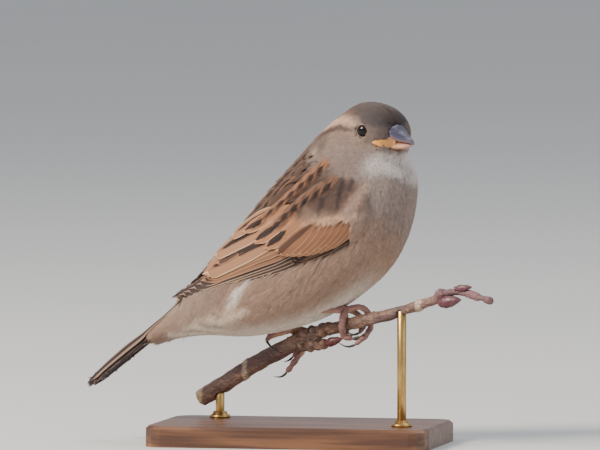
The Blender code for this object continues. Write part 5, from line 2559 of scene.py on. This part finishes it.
@dataclass
class Studio:
    """The pale floor and room, the soft lights and the camera."""

    azimuth: float = 12.0
    elevation: float = 3.0
    distance: float = 3.0
    span: float = 0.200
    sensor: float = 36.0
    reach: float = 14.0
    aim: tuple[float, float, float] = (0.0, 0.0, 0.073)

    def build(self) -> None:
        """Builds the whole studio."""
        self._floor()
        self._camera()
        self._light("key", (-58, 38, 1.6), 0.6, 44.0, (1.0, 0.90, 0.78))
        self._light("fill", (62, 18, 1.8), 1.6, 8.0, (0.80, 0.88, 1.0))
        self._light("top", (160, 70, 1.6), 1.2, 9.0, (0.95, 0.97, 1.0))
        world = bpy.data.worlds.new("room")
        world.use_nodes = True
        sky = world.node_tree.nodes["Background"].inputs
        sky[0].default_value, sky[1].default_value = (0.88, 0.92, 1.0, 1.0), 0.62
        bpy.context.scene.world = world
        log.info("studio: floor, camera, 3 lights")

    def _floor(self) -> None:
        """A wide flat floor that fades into the pale room."""
        turns = np.linspace(0, 2 * math.pi, 97)[:-1]
        rim = [(self.reach * math.cos(a), self.reach * math.sin(a), 0.0) for a in turns]
        floor = make_object("floor", np.array(rim), [range(len(rim))])
        finish = Finish("floor_paper", 0.85, 0.2)
        tone = finish.graph.noise(finish.place(), 2.0, 2.0)
        finish.feed("Base Color", finish.graph.mix(tone, (0.60, 0.60, 0.58, 1.0), (0.64, 0.64, 0.62, 1.0)))
        floor.data.materials.append(finish.material)

    def _aimed(
        self, name: str, data: bpy.types.ID, azimuth: float, elevation: float, distance: float
    ) -> bpy.types.Object:
        """Places a camera or a light that faces the model.

        Args:
            name: the object's name.
            data: the camera or light.
            azimuth: degrees to the right of the bird's right side.
            elevation: degrees above the floor.
            distance: metres from the model.

        Returns:
            The object.
        """
        a, e = math.radians(azimuth), math.radians(elevation)
        way = Vector((math.sin(a) * math.cos(e), -math.cos(a) * math.cos(e), math.sin(e)))
        obj = linked(name, data)
        obj.location = Vector(self.aim) + way * distance
        obj.rotation_euler = (-way).to_track_quat("-Z", "Y").to_euler()
        return obj

    def _camera(self) -> None:
        """The long lens that frames the model."""
        camera = bpy.data.cameras.new("camera")
        camera.sensor_width = self.sensor
        camera.lens = self.sensor * self.distance / self.span
        camera.clip_end = 20.0
        place = self.azimuth, self.elevation, self.distance
        bpy.context.scene.camera = self._aimed("camera", camera, *place)

    def _light(
        self, name: str, place: tuple[float, float, float], size: float, power: float, colour: Colour
    ) -> None:
        """A soft square light that faces the model.

        Args:
            name: the light's name.
            place: degrees to the right of the camera, degrees above the floor, and metres from the model.
            size: the side of the square, in metres.
            power: in watts.
            colour: its colour.
        """
        lamp = bpy.data.lights.new(name, "AREA")
        lamp.size, lamp.energy, lamp.color = size, power, colour
        self._aimed(name, lamp, self.azimuth + place[0], *place[1:])


def main() -> None:
    """Builds the model's visible pieces round the frame."""
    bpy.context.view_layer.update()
    groups = ShaderGroups()
    loom = Loom()
    down = DownFinish("down").build(groups)
    vanes = VaneFinish("vane").build(groups)
    horn = HornFinish("bill_horn", 0.34, linear(128, 112, 116), 0.2, 0.25).build(groups)
    claw = HornFinish("claw_horn", 0.22, linear(26, 20, 22), 0.5, 0.6).build(groups)
    skins = {
        "lid_skin": (0.5, linear(170, 146, 130), linear(120, 98, 86), 5200.0, 900.0, 0.00004),
        "leg_skin": (0.42, linear(150, 106, 98), linear(96, 62, 58), 2400.0, 500.0, 0.00005),
        "twig_bark": (0.62, linear(76, 54, 52), linear(62, 46, 42), 900.0, 300.0, 0.00012, (0.3, 1.0, 1.0)),
        "bud_scales": (0.4, linear(84, 36, 42), linear(40, 18, 22), 1500.0, 420.0, 0.00005),
    }
    coats = {"leg_skin": 0.15, "bud_scales": 0.3}
    lids, leg, bark, bud = (
        ScaleFinish(name, *values, coat=coats.get(name, 0.0)).build(groups) for name, values in skins.items()
    )
    eye = EyeFinish("eye_wet", linear(44, 27, 20), linear(16, 12, 11)).build(groups)
    wood = WoodFinish("stand_walnut", linear(128, 86, 56), linear(78, 48, 32)).build(groups)
    brass = BrassFinish("stand_brass", linear(200, 164, 100), linear(150, 112, 66)).build(groups)

    Studio().build()
    body = Body(Plumage(), down)
    body.skin()
    log.info("skin done")
    body.coat(loom)
    FlightFeathers(body, loom, vanes).build()
    Eyes(eye, lids).build()
    Bill(horn, body).build()
    drop(body.hull)
    Feet(leg, claw).build()
    Perch(bark, bud).build()
    Stand(wood, brass).build()


if __name__ == "__main__":
    logging.basicConfig(level=logging.INFO, format="%(name)s: %(message)s")
    main()
